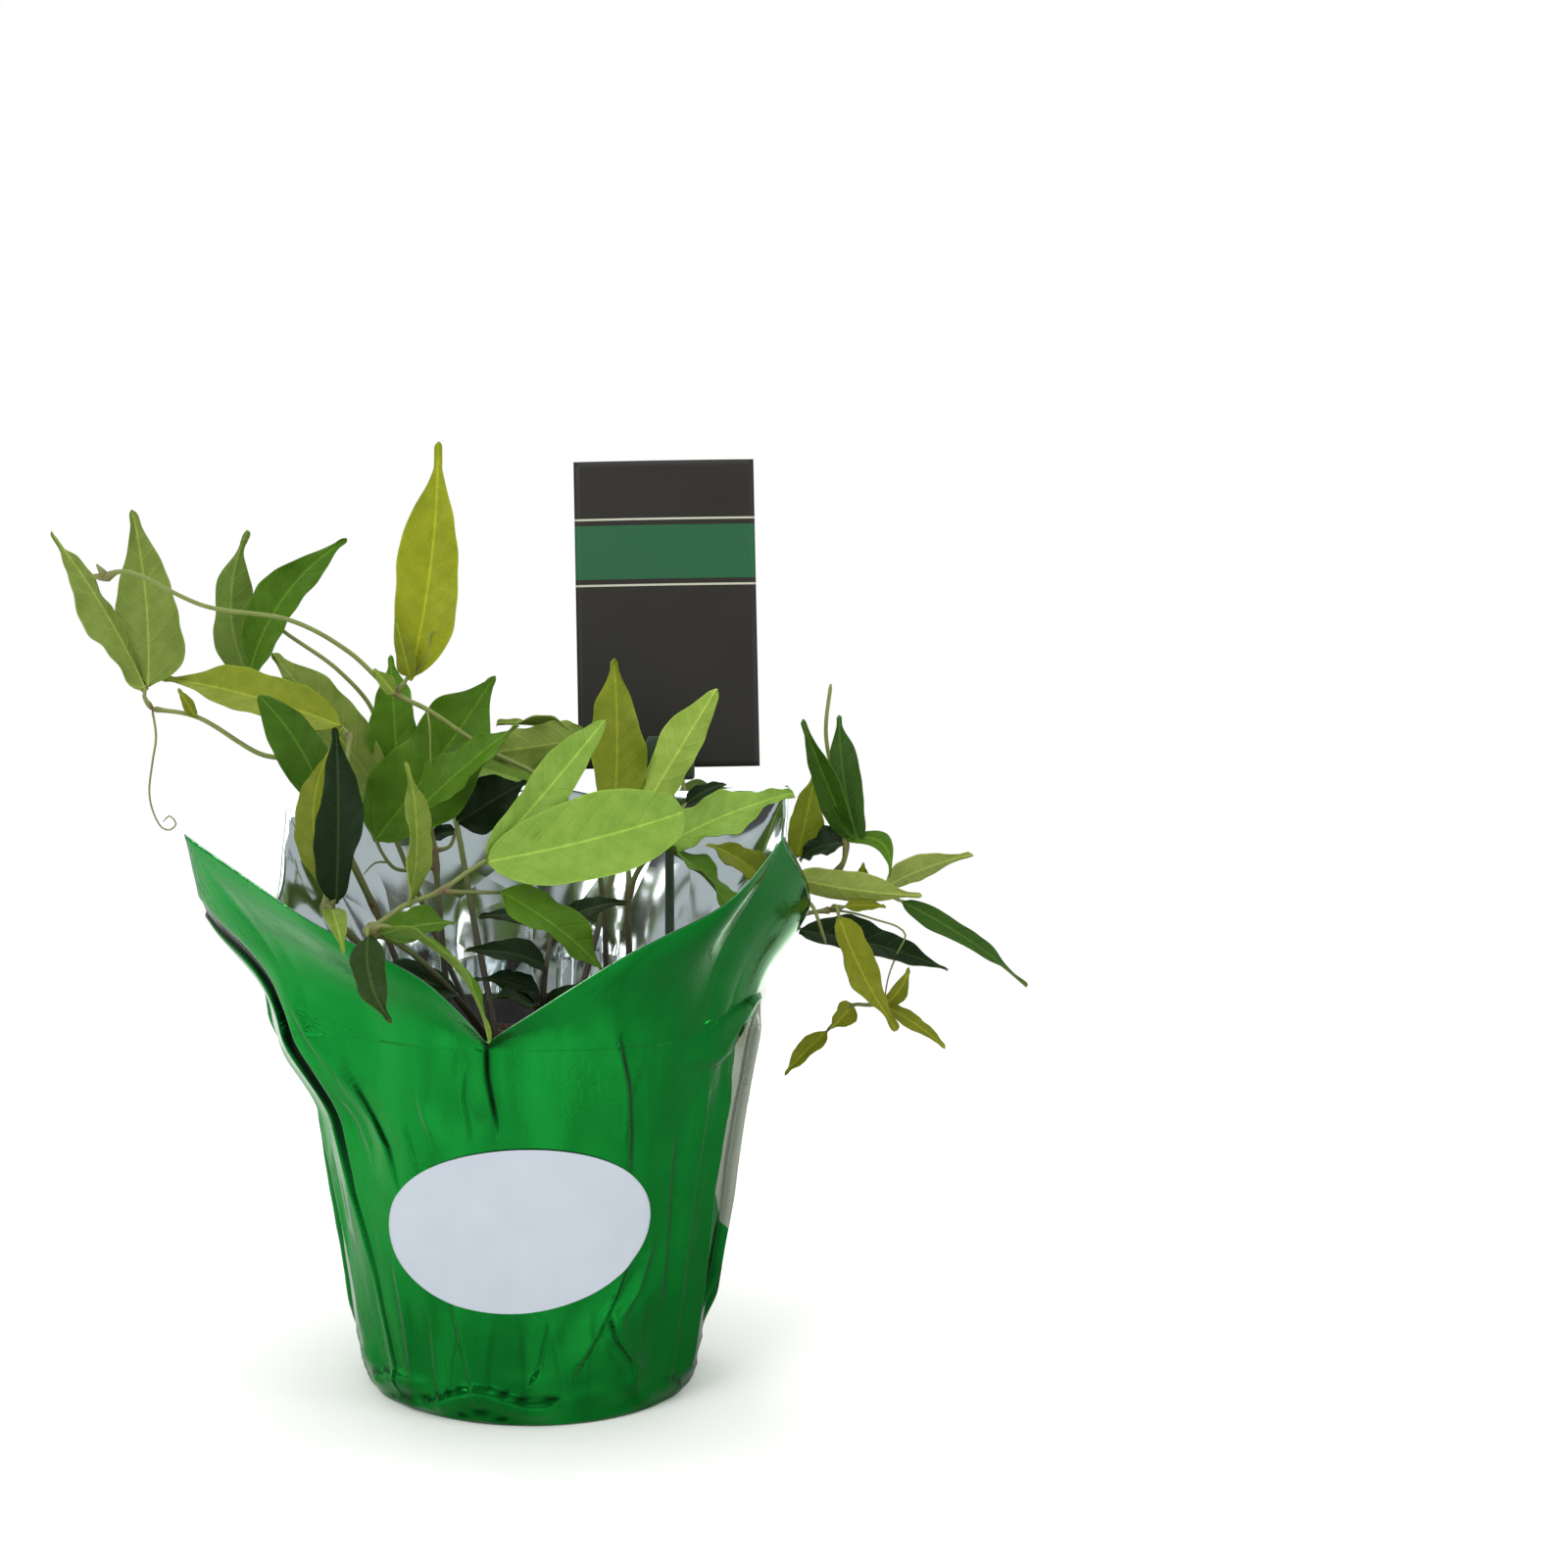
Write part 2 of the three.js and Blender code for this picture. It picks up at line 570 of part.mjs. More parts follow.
// Foil wrap: a flat foot, a pleated wall round the pot and a skirt that flares to the free edge
function foilWrap() {
  const edge = foilEdge();
  const column = (corner, inset) => {
    const angle = Math.atan2(corner.y, corner.x);
    const at = (radius, z) => new THREE.Vector3(
      (radius - inset) * Math.cos(angle), (radius - inset) * Math.sin(angle), z);
    const outward = (z) => wallRadius(z) + pleat(angle, z) + slack(angle, z);
    const foot = at(outward(0) - FOOT_INSET, inset);
    const wall = FOIL_WALL_HEIGHTS.slice(1).map((z) => at(outward(z), z));
    const reach = Math.hypot(corner.x, corner.y);
    const skirt = FOIL_SKIRT_STEPS.map((t) => at(
      THREE.MathUtils.lerp(outward(FOIL_RIM_Z), reach, t ** FOIL_FLARE),
      THREE.MathUtils.lerp(FOIL_RIM_Z, corner.z, t)));
    return [foot, ...wall, ...skirt];
  };
  const outer = edge.map((corner) => column(corner, 0));
  const inner = edge.map((corner) => column(corner, FOIL_SHEET));
  const count = outer.length;
  const rows = outer[0].length;
  const middle = [new THREE.Vector3(0, 0, 0), new THREE.Vector3(0, 0, FOIL_SHEET)];
  const points = [...outer.flat(), ...inner.flat(), ...middle];
  const offset = count * rows;
  const index = [];
  for (let k = 0; k < count; k += 1) {
    const a = k * rows;
    const b = ((k + 1) % count) * rows;
    for (let i = 0; i < rows - 1; i += 1) {
      index.push(a + i, b + i, b + i + 1, a + i, b + i + 1, a + i + 1);
      index.push(offset + a + i, offset + b + i + 1, offset + b + i, offset + a + i, offset + a + i + 1,
        offset + b + i + 1);
    }
    const top = rows - 1;
    index.push(a + top, b + top, offset + b + top, a + top, offset + b + top, offset + a + top);
    index.push(2 * offset, b, a);
    index.push(2 * offset + 1, offset + a, offset + b);
  }
  const geometry = new THREE.BufferGeometry();
  geometry.setAttribute('position', new THREE.Float32BufferAttribute(points.flatMap((p) => p.toArray()), 3));
  geometry.setIndex(index);
  return geometry;
}

// Nursery pot: thin wall with a rolled-out rim band and drain holes in its floor
function nurseryPot() {
  const band = POT_HEIGHT - POT_RIM_HEIGHT;
  const profile = [
    [0, POT_FLOOR_Z], [POT_BASE_RADIUS, POT_FLOOR_Z], [POT_BODY_RADIUS, band], [POT_RIM_RADIUS, band + 1],
    [POT_RIM_RADIUS, POT_HEIGHT], [POT_RIM_RADIUS - POT_WALL, POT_HEIGHT],
    [POT_RIM_RADIUS - POT_WALL, band + 2.5], [POT_BODY_RADIUS - POT_WALL, band],
    [POT_BASE_RADIUS - POT_WALL, POT_FLOOR_Z + POT_WALL], [0, POT_FLOOR_Z + POT_WALL],
  ].map(([radius, z]) => new THREE.Vector2(radius, z));
  const body = new THREE.LatheGeometry(profile, POT_SEGMENTS).rotateX(Math.PI / 2);
  const holes = [];
  for (let k = 0; k < DRAIN_COUNT; k += 1) {
    const angle = (k / DRAIN_COUNT) * Math.PI * 2;
    const hole = new THREE.CylinderGeometry(DRAIN_RADIUS, DRAIN_RADIUS, 6, 8).rotateX(Math.PI / 2);
    holes.push(hole.translate(DRAIN_CIRCLE * Math.cos(angle), DRAIN_CIRCLE * Math.sin(angle), POT_FLOOR_Z));
  }
  return cut(body, holes);
}

// Potting soil: fills the pot, with a lumpy top and a plain hole for each stem and for the pick
function pottingSoil() {
  const random = seededRandom(7);
  const band = POT_HEIGHT - POT_RIM_HEIGHT;
  const potRadius = (z) => THREE.MathUtils.lerp(POT_BASE_RADIUS, POT_BODY_RADIUS, z / band);
  const innerRadius = (z) => potRadius(z) - POT_WALL - 2 * GAP;
  const top = innerRadius(SOIL_Z);
  const profile = [
    [0, SOIL_FLOOR_Z], [innerRadius(SOIL_FLOOR_Z), SOIL_FLOOR_Z], [top, SOIL_Z - 1.5], [top * 0.8, SOIL_Z],
    [top * 0.45, SOIL_Z], [0, SOIL_Z],
  ].map(([radius, z]) => new THREE.Vector2(radius, z));
  const body = new THREE.LatheGeometry(profile, POT_SEGMENTS).rotateX(Math.PI / 2);
  body.deleteAttribute('normal');
  body.deleteAttribute('uv');
  const merged = mergeVertices(body, 1e-3);
  const position = merged.attributes.position;
  for (let k = 0; k < position.count; k += 1) {
    if (position.getZ(k) === SOIL_Z) position.setZ(k, SOIL_Z + SOIL_LUMP * (2 * random() - 1));
  }
  const height = ROOT_DEPTH + GAP + DRILL_CLEAR;
  const holes = Object.values(VINES).map(({ root, radius }) => {
    const hole = new THREE.CylinderGeometry(radius + ROOT_CLEARANCE, radius + ROOT_CLEARANCE, height, 6);
    return hole.rotateX(Math.PI / 2).translate(root[0], root[1], SOIL_Z + DRILL_CLEAR - height / 2);
  });
  return cut(merged, [...holes, leanBack(pickShaft(GAP))]);
}

// Oval sticker: follows the round of the wall in front
function labelSticker() {
  const rows = 11;
  const sides = [-1, -0.66, -0.33, 0, 0.33, 0.66, 1];
  const face = (lift) => {
    const grid = [];
    for (let i = 0; i < rows; i += 1) {
      const up = -Math.cos((i / (rows - 1)) * Math.PI);
      const half = Math.max(1.2, (LABEL_WIDTH / 2) * Math.sqrt(1 - up * up));
      const z = LABEL_Z + (LABEL_HEIGHT / 2) * up;
      const radius = wallRadius(z) + LABEL_GAP + lift;
      grid.push(sides.map((s) => {
        const angle = LABEL_ANGLE + (s * half) / wallRadius(z);
        return new THREE.Vector3(radius * Math.cos(angle), radius * Math.sin(angle), z);
      }));
    }
    return grid;
  };
  return sheet(face(LABEL_SHEET), face(0));
}

// Card and the pick that grips its lower edge. Both are made upright, with the middle of the card's lower
// edge at the origin, and then lean back a little
function leanBack(geometry) {
  return geometry.rotateX(-CARD_LEAN).translate(...CARD_BOTTOM);
}

function pickShaft(margin = 0) {
  const height = PICK_LENGTH + margin;
  const shaft = new THREE.BoxGeometry(PICK_WIDTH + 2 * margin, PICK_DEPTH + 2 * margin, height);
  return shaft.translate(0, 0, -height / 2 - 2);
}

function cardPick() {
  const [clipWidth, clipDepth, clipHeight] = PICK_CLIP;
  const clip = new THREE.BoxGeometry(clipWidth, clipDepth, clipHeight).translate(0, 0, clipHeight / 2 - 3);
  const slot = new THREE.BoxGeometry(clipWidth + 2, CARD_SHEET + 2 * GAP, clipHeight);
  slot.translate(0, 0, clipHeight / 2 - GAP);
  return leanBack(cut(join([pickShaft(), clip]), [slot]));
}

function plainCard() {
  const card = new THREE.BoxGeometry(CARD_WIDTH, CARD_SHEET, CARD_HEIGHT);
  return leanBack(card.translate(0, 0, CARD_HEIGHT / 2).rotateY(-CARD_TILT).translate(0, 0, GAP));
}

// Scene graph
const whole = new THREE.Group();

function add(name, geometry, colour, roughness, metalness = 0) {
  const material = new THREE.MeshStandardMaterial({ color: colour, roughness, metalness });
  const mesh = new THREE.Mesh(geometry, material);
  mesh.name = name;
  whole.add(mesh);
}

add('foil_wrap', foilWrap(), 0x14822d, 0.2, 0.4);
add('nursery_pot', nurseryPot(), 0x1b1b1d, 0.55);
add('potting_soil', pottingSoil(), 0x2e2118, 0.95);
add('label_sticker', labelSticker(), 0xd7e1eb, 0.45);
add('card_pick', cardPick(), 0x2f4a2c, 0.4);
add('card', plainCard(), 0x322d23, 0.6);

const GREENS = {
  vine_left_tip: 0x7fa83f,
  vine_left_mid: 0x6d9a3a,
  vine_front_left: 0x4c6f2a,
  vine_front: 0x8fb84a,
  vine_runner: 0xa6ac2c,
  vine_dark_centre: 0x3f6a22,
  vine_centre: 0x98ab34,
  vine_right_up: 0x5f8430,
  vine_right_low: 0x8f9a2e,
  vine_back_left: 0x5a8230,
  vine_back_right: 0x6a9236,
  shoots_low: 0x1f3a1a,
};
Object.entries(VINES).forEach(([name, plan], k) => {
  add(name, vine(plan, 11 + k), GREENS[name], 0.5);
});

export default whole;
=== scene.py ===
# %% [markdown]
# A potted crossvine in a foil wrap.
# The real object is a young climbing plant in a plastic nursery pot. The pot stands on one square sheet of
# two-sided foil, gathered up round it, so that the four corners of the sheet stand up as peaks. A sticker
# and a card on a pick go with it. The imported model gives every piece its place; this file gives the fine
# surface, the leaves' veins and waves, the folds of the foil, the colours, the light and the camera.

# %% Load the frame
import math

import bmesh
import bpy
import numpy as np
from mathutils import Matrix, Vector, noise


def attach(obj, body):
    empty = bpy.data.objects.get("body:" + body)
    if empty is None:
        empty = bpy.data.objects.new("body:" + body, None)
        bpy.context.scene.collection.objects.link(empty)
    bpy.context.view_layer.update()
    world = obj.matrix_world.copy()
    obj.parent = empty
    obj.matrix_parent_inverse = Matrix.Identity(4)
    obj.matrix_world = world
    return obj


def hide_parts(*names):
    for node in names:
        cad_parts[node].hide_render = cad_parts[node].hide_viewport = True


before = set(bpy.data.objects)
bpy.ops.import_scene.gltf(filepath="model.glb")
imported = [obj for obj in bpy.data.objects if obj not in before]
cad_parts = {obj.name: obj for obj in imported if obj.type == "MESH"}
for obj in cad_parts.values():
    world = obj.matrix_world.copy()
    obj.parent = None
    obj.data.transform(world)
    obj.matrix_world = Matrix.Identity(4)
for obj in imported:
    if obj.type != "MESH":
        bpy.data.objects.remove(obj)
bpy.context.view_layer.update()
print("nodes:", sorted(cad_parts))

# %% [markdown]
# Units and small helpers.
# All sizes below are real millimetres, as a maker would write them, and turn into metres only where a mesh
# is made. A smooth step eases a value in between two limits, which is how folds and edges fade out here.

# %% Units and helpers
MM = 0.001
SMOOTHNESS = 1.0


def smooth(low, high, value):
    t = np.clip((value - low) / (high - low), 0, 1)
    return t * t * (3 - 2 * t)


def unit(v):
    v = np.asarray(v, float)
    return v / np.linalg.norm(v)


def linear(red, green, blue):
    """A colour as seen, 0 to 255, turned into the light values that shaders work with."""
    seen = np.array([red, green, blue]) / 255
    return tuple(np.where(seen <= 0.04045, seen / 12.92, ((seen + 0.055) / 1.055) ** 2.4))


print("one unit of length here is", MM, "metres")

# %% [markdown]
# The camera.
# The picture was taken from a little above the middle of the plant, close to it, with the plant low and
# left of the middle of a square frame. A shift of the lens moves the plant in the frame without turning
# the camera further, so the card's sides stay upright.

# %% Camera
CAMERA_DISTANCE = 466
CAMERA_RISE = math.radians(6.5)
TARGET_HEIGHT = 110
LENS_MM, SENSOR_MM = 40.5, 36
# The picture's side and the place of the pot's axis in it, in pixels from the left and from the top
PICTURE_SIDE, AXIS_ACROSS, AXIS_DOWN = 1600, 541, 983
camera_data = bpy.data.cameras.new("camera")
camera_data.lens = LENS_MM
camera_data.sensor_width = SENSOR_MM
camera_data.shift_x = (PICTURE_SIDE / 2 - AXIS_ACROSS) / PICTURE_SIDE
camera_data.shift_y = (AXIS_DOWN - PICTURE_SIDE / 2) / PICTURE_SIDE
camera_data.clip_start = 0.01
camera = bpy.data.objects.new("camera", camera_data)
bpy.context.scene.collection.objects.link(camera)
camera.location = (
    0,
    -CAMERA_DISTANCE * math.cos(CAMERA_RISE) * MM,
    (TARGET_HEIGHT + CAMERA_DISTANCE * math.sin(CAMERA_RISE)) * MM,
)
camera.rotation_euler = (math.pi / 2 - CAMERA_RISE, 0, 0)
bpy.context.scene.camera = camera
print("camera at", tuple(round(x, 3) for x in camera.location))

# %% [markdown]
# Nodes for the finishes.
# A finish is a small net of shader nodes. Building one takes the same few steps each time: add a node, set
# its values, join it to what it reads. One helper does that, so each finish below reads like a recipe.

# %% Shader helper
class Finish:
    """One material and its node net. A value may be a number, a colour or the output of another node."""

    def __init__(self, name, roughness=0.5, metallic=0.0, **fixed):
        self.material = bpy.data.materials.new(name)
        self.material.use_nodes = True
        self.tree = self.material.node_tree
        self.shader = self.tree.nodes["Principled BSDF"]
        self.set(self.shader, {"Roughness": roughness, "Metallic": metallic, **fixed})

    def set(self, made, values):
        for key, value in values.items():
            socket = made.inputs[key]
            if isinstance(value, bpy.types.NodeSocket):
                self.tree.links.new(value, socket)
            elif isinstance(value, tuple) and len(value) == 3 and socket.type == "RGBA":
                socket.default_value = (*value, 1)
            else:
                socket.default_value = value
        return made

    def add(self, kind, values=None, **settings):
        made = self.tree.nodes.new("ShaderNode" + kind)
        for key, value in settings.items():
            setattr(made, key, value)
        return self.set(made, values or {})

    def attribute(self, name):
        return self.add("Attribute", attribute_name=name)

    def math(self, operation, *values, clamp=False):
        made = self.add("Math", operation=operation, use_clamp=clamp)
        return self.set(made, dict(enumerate(values))).outputs[0]

    def remap(self, value, low, high, out_low=0.0, out_high=1.0):
        keys = {0: value, 1: low, 2: high, 3: out_low, 4: out_high}
        return self.add("MapRange", keys, interpolation_type="SMOOTHSTEP").outputs[0]

    def mix(self, share, first, second, blend="MIX"):
        keys = {0: share, 6: first, 7: second}
        return self.add("Mix", keys, data_type="RGBA", blend_type=blend).outputs[2]

    def noise(self, where, scale, detail=3.0, roughness=0.5):
        keys = {"Vector": where, "Scale": scale, "Detail": detail, "Roughness": roughness}
        return self.add("TexNoise", keys).outputs[0]

    def bump(self, height, distance_mm, strength=1.0, under=None):
        keys = {"Height": height, "Distance": distance_mm * MM, "Strength": strength}
        if under is not None:
            keys["Normal"] = under
        return self.add("Bump", keys).outputs[0]


print("finish helper ready")

# %% [markdown]
# The floor, the light and the air round it.
# A plain studio: a pale floor, one large soft light from the front left, a weaker one from the right, one
# from above and one from behind. The camera sees white air. Foil shows what stands round it, so what it
# mirrors is made on its own: air that is pale near the ground, darker a little higher and pale again
# overhead, a bright window far behind on the right, and a floor with painted bands of light and shade.
# Without them the foil would look like flat paint.

# %% Lights
def softbox(name, place, aim, width, height, power):
    data = bpy.data.lights.new(name, "AREA")
    data.shape = "RECTANGLE"
    data.size = width
    data.size_y = height
    data.energy = power
    lamp = bpy.data.objects.new(name, data)
    lamp.location = place
    lamp.rotation_euler = (Vector(aim) - Vector(place)).to_track_quat("-Z", "Y").to_euler()
    bpy.context.scene.collection.objects.link(lamp)


PLANT_MIDDLE = (0, 0, 0.1)
softbox("key_light", (-0.75, -0.95, 0.95), PLANT_MIDDLE, 0.7, 0.9, 9)
softbox("fill_light", (1.05, -0.55, 0.45), PLANT_MIDDLE, 0.35, 0.9, 3.5)
softbox("top_light", (0.1, 0.25, 1.3), PLANT_MIDDLE, 0.9, 0.9, 6)
softbox("back_light", (-0.5, 1.1, 0.7), PLANT_MIDDLE, 0.8, 0.8, 4)
print("four lights, all turned to", PLANT_MIDDLE)

# %% [markdown]
# The floor.
# A wide disc of pale paint that fades to clear towards its rim, so that no edge shows in the picture. Only
# mirrored rays see the light and shade painted on it: darker and paler bands, a darker right side, a painted
# pool of light on the window's side, and painted shade close to the pot.

# %% Floor
# The way to the window, and how nearly a mirrored ray has to go that way to meet its edge and its full light
WINDOW_WAY = (0.45, 0.89, 0.0)
WINDOW_EDGE, WINDOW_CORE = 0.86, 0.99
# Metres from the plant at which the floor starts to fade, and is gone
FADE_FROM, FADE_TO = 0.45, 1.1


def make_floor():
    finish = Finish("floor_paint_and_painted_light", roughness=0.9)
    where = finish.add("TexCoord").outputs["Object"]
    tone = finish.noise(where, 6)
    paint = finish.mix(tone, (0.93, 0.93, 0.93), (0.97, 0.97, 0.97))
    far = finish.add("VectorMath", {0: where}, operation="LENGTH").outputs["Value"]
    around = finish.add("VectorMath", {0: where}, operation="NORMALIZE").outputs["Vector"]
    to_right = finish.add("SeparateXYZ", {0: around}).outputs[0]
    to_window = finish.add("VectorMath", {0: around, 1: WINDOW_WAY}, operation="DOT_PRODUCT").outputs["Value"]
    # Painted light and shade on the floor, seen only in mirrors: bands, a darker right side and a painted
    # pool of light on the window's side
    painted_light_and_shade = finish.math("MULTIPLY", finish.remap(finish.noise(around, 2.2, 1), 0.38, 0.6, 0.7, 1.0),
                        finish.remap(to_right, 0.25, 0.95, 1.0, 0.55))
    painted_light_and_shade = finish.math("ADD", painted_light_and_shade, finish.remap(to_window, WINDOW_EDGE, WINDOW_CORE, 0.0, 0.9))
    # Painted shade on the floor close to the pot, seen only in mirrors
    near = finish.remap(far, 0.07, 0.24, 0.8, 1.0)
    mirrored = finish.math("MULTIPLY", painted_light_and_shade, near)
    seen = finish.mix(finish.add("LightPath").outputs["Is Glossy Ray"], (1.0, 1.0, 1.0), mirrored)
    finish.set(finish.shader, {"Base Color": finish.mix(1.0, paint, seen, "MULTIPLY")})
    clear = finish.add("BsdfTransparent")
    faded = finish.add("MixShader", {0: finish.remap(far, FADE_FROM, FADE_TO), 1: finish.shader.outputs[0],
                                     2: clear.outputs[0]})
    finish.set(finish.tree.nodes["Material Output"], {"Surface": faded.outputs[0]})
    bpy.ops.mesh.primitive_circle_add(vertices=128, radius=1.2, fill_type="NGON")
    floor = bpy.context.object
    floor.name = "floor"
    floor.data.materials.append(finish.material)


make_floor()
print("the floor fades out", FADE_TO, "metres from the plant")

# %% [markdown]
# The air.
# The world shows one of three tones, by the kind of ray that meets it: white to the camera, a soft warm
# white to rays that light the plant, and to mirrored rays a room with the window in it.

# %% Air
def make_air():
    world = bpy.data.worlds.new("studio_air")
    world.use_nodes = True
    tree = world.node_tree
    seen = tree.nodes["Background"]
    seen.inputs["Color"].default_value = (1, 1, 1, 1)
    seen.inputs["Strength"].default_value = 1.0
    soft = tree.nodes.new("ShaderNodeBackground")
    soft.inputs["Color"].default_value = (1.0, 0.99, 0.97, 1)
    soft.inputs["Strength"].default_value = 0.85
    around = tree.nodes.new("ShaderNodeBackground")
    height = tree.nodes.new("ShaderNodeSeparateXYZ")
    place = tree.nodes.new("ShaderNodeTexCoord")
    ramp = tree.nodes.new("ShaderNodeValToRGB")
    tree.links.new(place.outputs["Generated"], height.inputs[0])
    tree.links.new(height.outputs["Z"], ramp.inputs["Fac"])
    ramp.color_ramp.elements[0].position = 0.0
    ramp.color_ramp.elements[0].color = (0.66, 0.68, 0.67, 1)
    ramp.color_ramp.elements[1].position = 0.26
    ramp.color_ramp.elements[1].color = (0.4, 0.42, 0.41, 1)
    overhead = ramp.color_ramp.elements.new(0.42)
    overhead.color = (0.78, 0.84, 0.86, 1)
    tree.links.new(ramp.outputs["Color"], around.inputs["Color"])
    to_window = tree.nodes.new("ShaderNodeVectorMath")
    to_window.operation = "DOT_PRODUCT"
    to_window.inputs[1].default_value = WINDOW_WAY
    tree.links.new(place.outputs["Generated"], to_window.inputs[0])
    brighter = tree.nodes.new("ShaderNodeMapRange")
    brighter.inputs["From Min"].default_value = WINDOW_EDGE
    brighter.inputs["From Max"].default_value = WINDOW_CORE
    brighter.inputs["To Min"].default_value = 0.75
    brighter.inputs["To Max"].default_value = 1.6
    tree.links.new(to_window.outputs["Value"], brighter.inputs["Value"])
    tree.links.new(brighter.outputs["Result"], around.inputs["Strength"])
    path = tree.nodes.new("ShaderNodeLightPath")
    either = tree.nodes.new("ShaderNodeMixShader")
    mirrored = tree.nodes.new("ShaderNodeMixShader")
    tree.links.new(path.outputs["Is Glossy Ray"], mirrored.inputs["Fac"])
    tree.links.new(soft.outputs[0], mirrored.inputs[1])
    tree.links.new(around.outputs[0], mirrored.inputs[2])
    tree.links.new(path.outputs["Is Camera Ray"], either.inputs["Fac"])
    tree.links.new(mirrored.outputs[0], either.inputs[1])
    tree.links.new(seen.outputs[0], either.inputs[2])
    tree.links.new(either.outputs[0], tree.nodes["World Output"].inputs["Surface"])
    bpy.context.scene.world = world


make_air()
bpy.context.scene.view_settings.view_transform = "Standard"
print("the air is", bpy.context.scene.world.name)

# %% [markdown]
# From points to pieces.
# Every piece is a list of points and a list of faces worked out with arrays. This helper turns them into a
# mesh, gives it its finishes, tells the frame which body it rides on, and hides the plain solid that it
# stands for. Marks are numbers kept at each point, which the finishes read: mostly the point's place on the
# flat sheet.

# %% Piece helper
def make_piece(name, points, faces, replaces, finishes, which=None, marks=None):
    mesh = bpy.data.meshes.new(name)
    mesh.from_pydata((np.asarray(points) * MM).tolist(), [], [list(map(int, f)) for f in faces])
    for finish in finishes:
        mesh.materials.append(finish)
    if which is not None:
        mesh.polygons.foreach_set("material_index", np.asarray(which, np.int32))
    for key, values in (marks or {}).items():
        values = np.asarray(values, np.float32)
        kind = "FLOAT_COLOR" if values.shape[1] == 4 else "FLOAT_VECTOR"
        field = "color" if kind == "FLOAT_COLOR" else "vector"
        mesh.attributes.new(key, kind, "POINT").data.foreach_set(field, values.ravel())
    mesh.shade_smooth()
    mesh.update()
    piece = bpy.data.objects.new(name, mesh)
    bpy.context.scene.collection.objects.link(piece)
    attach(piece, "root")
    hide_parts(*replaces)
    print(name, "has", sum(len(face.vertices) - 2 for face in mesh.polygons), "triangles")
    return piece

# %% [markdown]
# Nets of points.
# Sheets, tubes and turned forms are all nets: rows and columns of points, with a four-sided face between
# each four of them. One helper lists those faces. The others close a net into a tube or a thin sheet, or
# join several forms into one piece.

# %% Nets of points
# Marks of place on the foil, the sticker and the card count in steps of this many millimetres
MARK_UNIT = 100


def net_faces(rows, columns, ring=True):
    """Faces of a net of points, row after row; a ring joins its last column to its first."""
    steps = np.arange(columns if ring else columns - 1)
    i, j = [part.ravel() for part in np.meshgrid(np.arange(rows - 1), steps, indexing="ij")]
    k = (j + 1) % columns
    return np.stack([i * columns + j, i * columns + k, (i + 1) * columns + k, (i + 1) * columns + j], 1)


def tube_faces(rows, columns):
    """Faces of a tube made of rings of points, with a flat face over each end."""
    ends = [list(range(columns))[::-1], list(range((rows - 1) * columns, rows * columns))]
    return net_faces(rows, columns).tolist() + ends


def thin_sheet(front, back):
    """Points, faces and side of each face of a closed sheet, from two like grids of points."""
    rows, columns = front.shape[:2]
    half = rows * columns
    top = net_faces(rows, columns, ring=False)
    steps, starts = np.arange(columns - 1), np.arange(rows - 1) * columns
    low = np.stack([steps, steps + half, steps + 1 + half, steps + 1], 1)
    left = np.stack([starts, starts + columns, starts + columns + half, starts + half], 1)
    edge = np.concatenate([low, low[:, ::-1] + (rows - 1) * columns, left, left[:, ::-1] + columns - 1])
    faces = np.concatenate([top, top[:, ::-1] + half, edge])
    side = np.repeat([0, 1, 0], [len(top), len(top), len(edge)])
    return np.concatenate([front.reshape(-1, 3), back.reshape(-1, 3)]), faces, side


def join_parts(parts):
    """One list of points and one of faces, from several pairs of points and faces."""
    points, faces, count = [], [], 0
    for part_points, part_faces in parts:
        points.append(part_points)
        faces += [[v + count for v in face] for face in part_faces]
        count += len(part_points)
    return np.concatenate(points), faces


print("a net of 3 by 4 points has", len(net_faces(3, 4, ring=False)), "faces")

# %% [markdown]
# A smooth path.
# Stems, and one edge of the foil, run in smooth curves, and a few given points are easier to choose than
# many. This curve goes through each of its points, and makes no loop where two of them lie close
# together.

# %% Smooth path
def smooth_path(points, step):
    """The centripetal curve through the points, at about even steps."""
    p = np.asarray(points, float)
    p = np.concatenate([[2 * p[0] - p[1]], p, [2 * p[-1] - p[-2]]])
    out = []
    for k in range(1, len(p) - 2):
        a, b, c, d = p[k - 1:k + 3]
        ta = 0.0
        tb = ta + np.linalg.norm(b - a) ** 0.5
        tc = tb + np.linalg.norm(c - b) ** 0.5
        td = tc + np.linalg.norm(d - c) ** 0.5
        count = max(2, int(np.linalg.norm(c - b) / step))
        for t in np.linspace(tb, tc, count, endpoint=False):
            ab = (tb - t) / (tb - ta) * a + (t - ta) / (tb - ta) * b
            bc = (tc - t) / (tc - tb) * b + (t - tb) / (tc - tb) * c
            cd = (td - t) / (td - tc) * c + (t - tc) / (td - tc) * d
            abc = (tc - t) / (tc - ta) * ab + (t - ta) / (tc - ta) * bc
            bcd = (td - t) / (td - tb) * bc + (t - tb) / (td - tb) * cd
            out.append((tc - t) / (tc - tb) * abc + (t - tb) / (tc - tb) * bcd)
    out.append(p[-2])
    return np.array(out)


print("a path through 3 points has", len(smooth_path([(0, 0, 0), (5, 5, 0), (10, 0, 0)], 1)), "points")

# %% [markdown]
# The foil wrap: sizes.
# One square sheet lies under the pot and comes up round it. These are its driving sizes, the same as the
# frame's, but for its real thickness. The free edge is given as a few points in turn round the pot: four
# high corners, and low places between them. The front has a deep notch, through which the stems show.

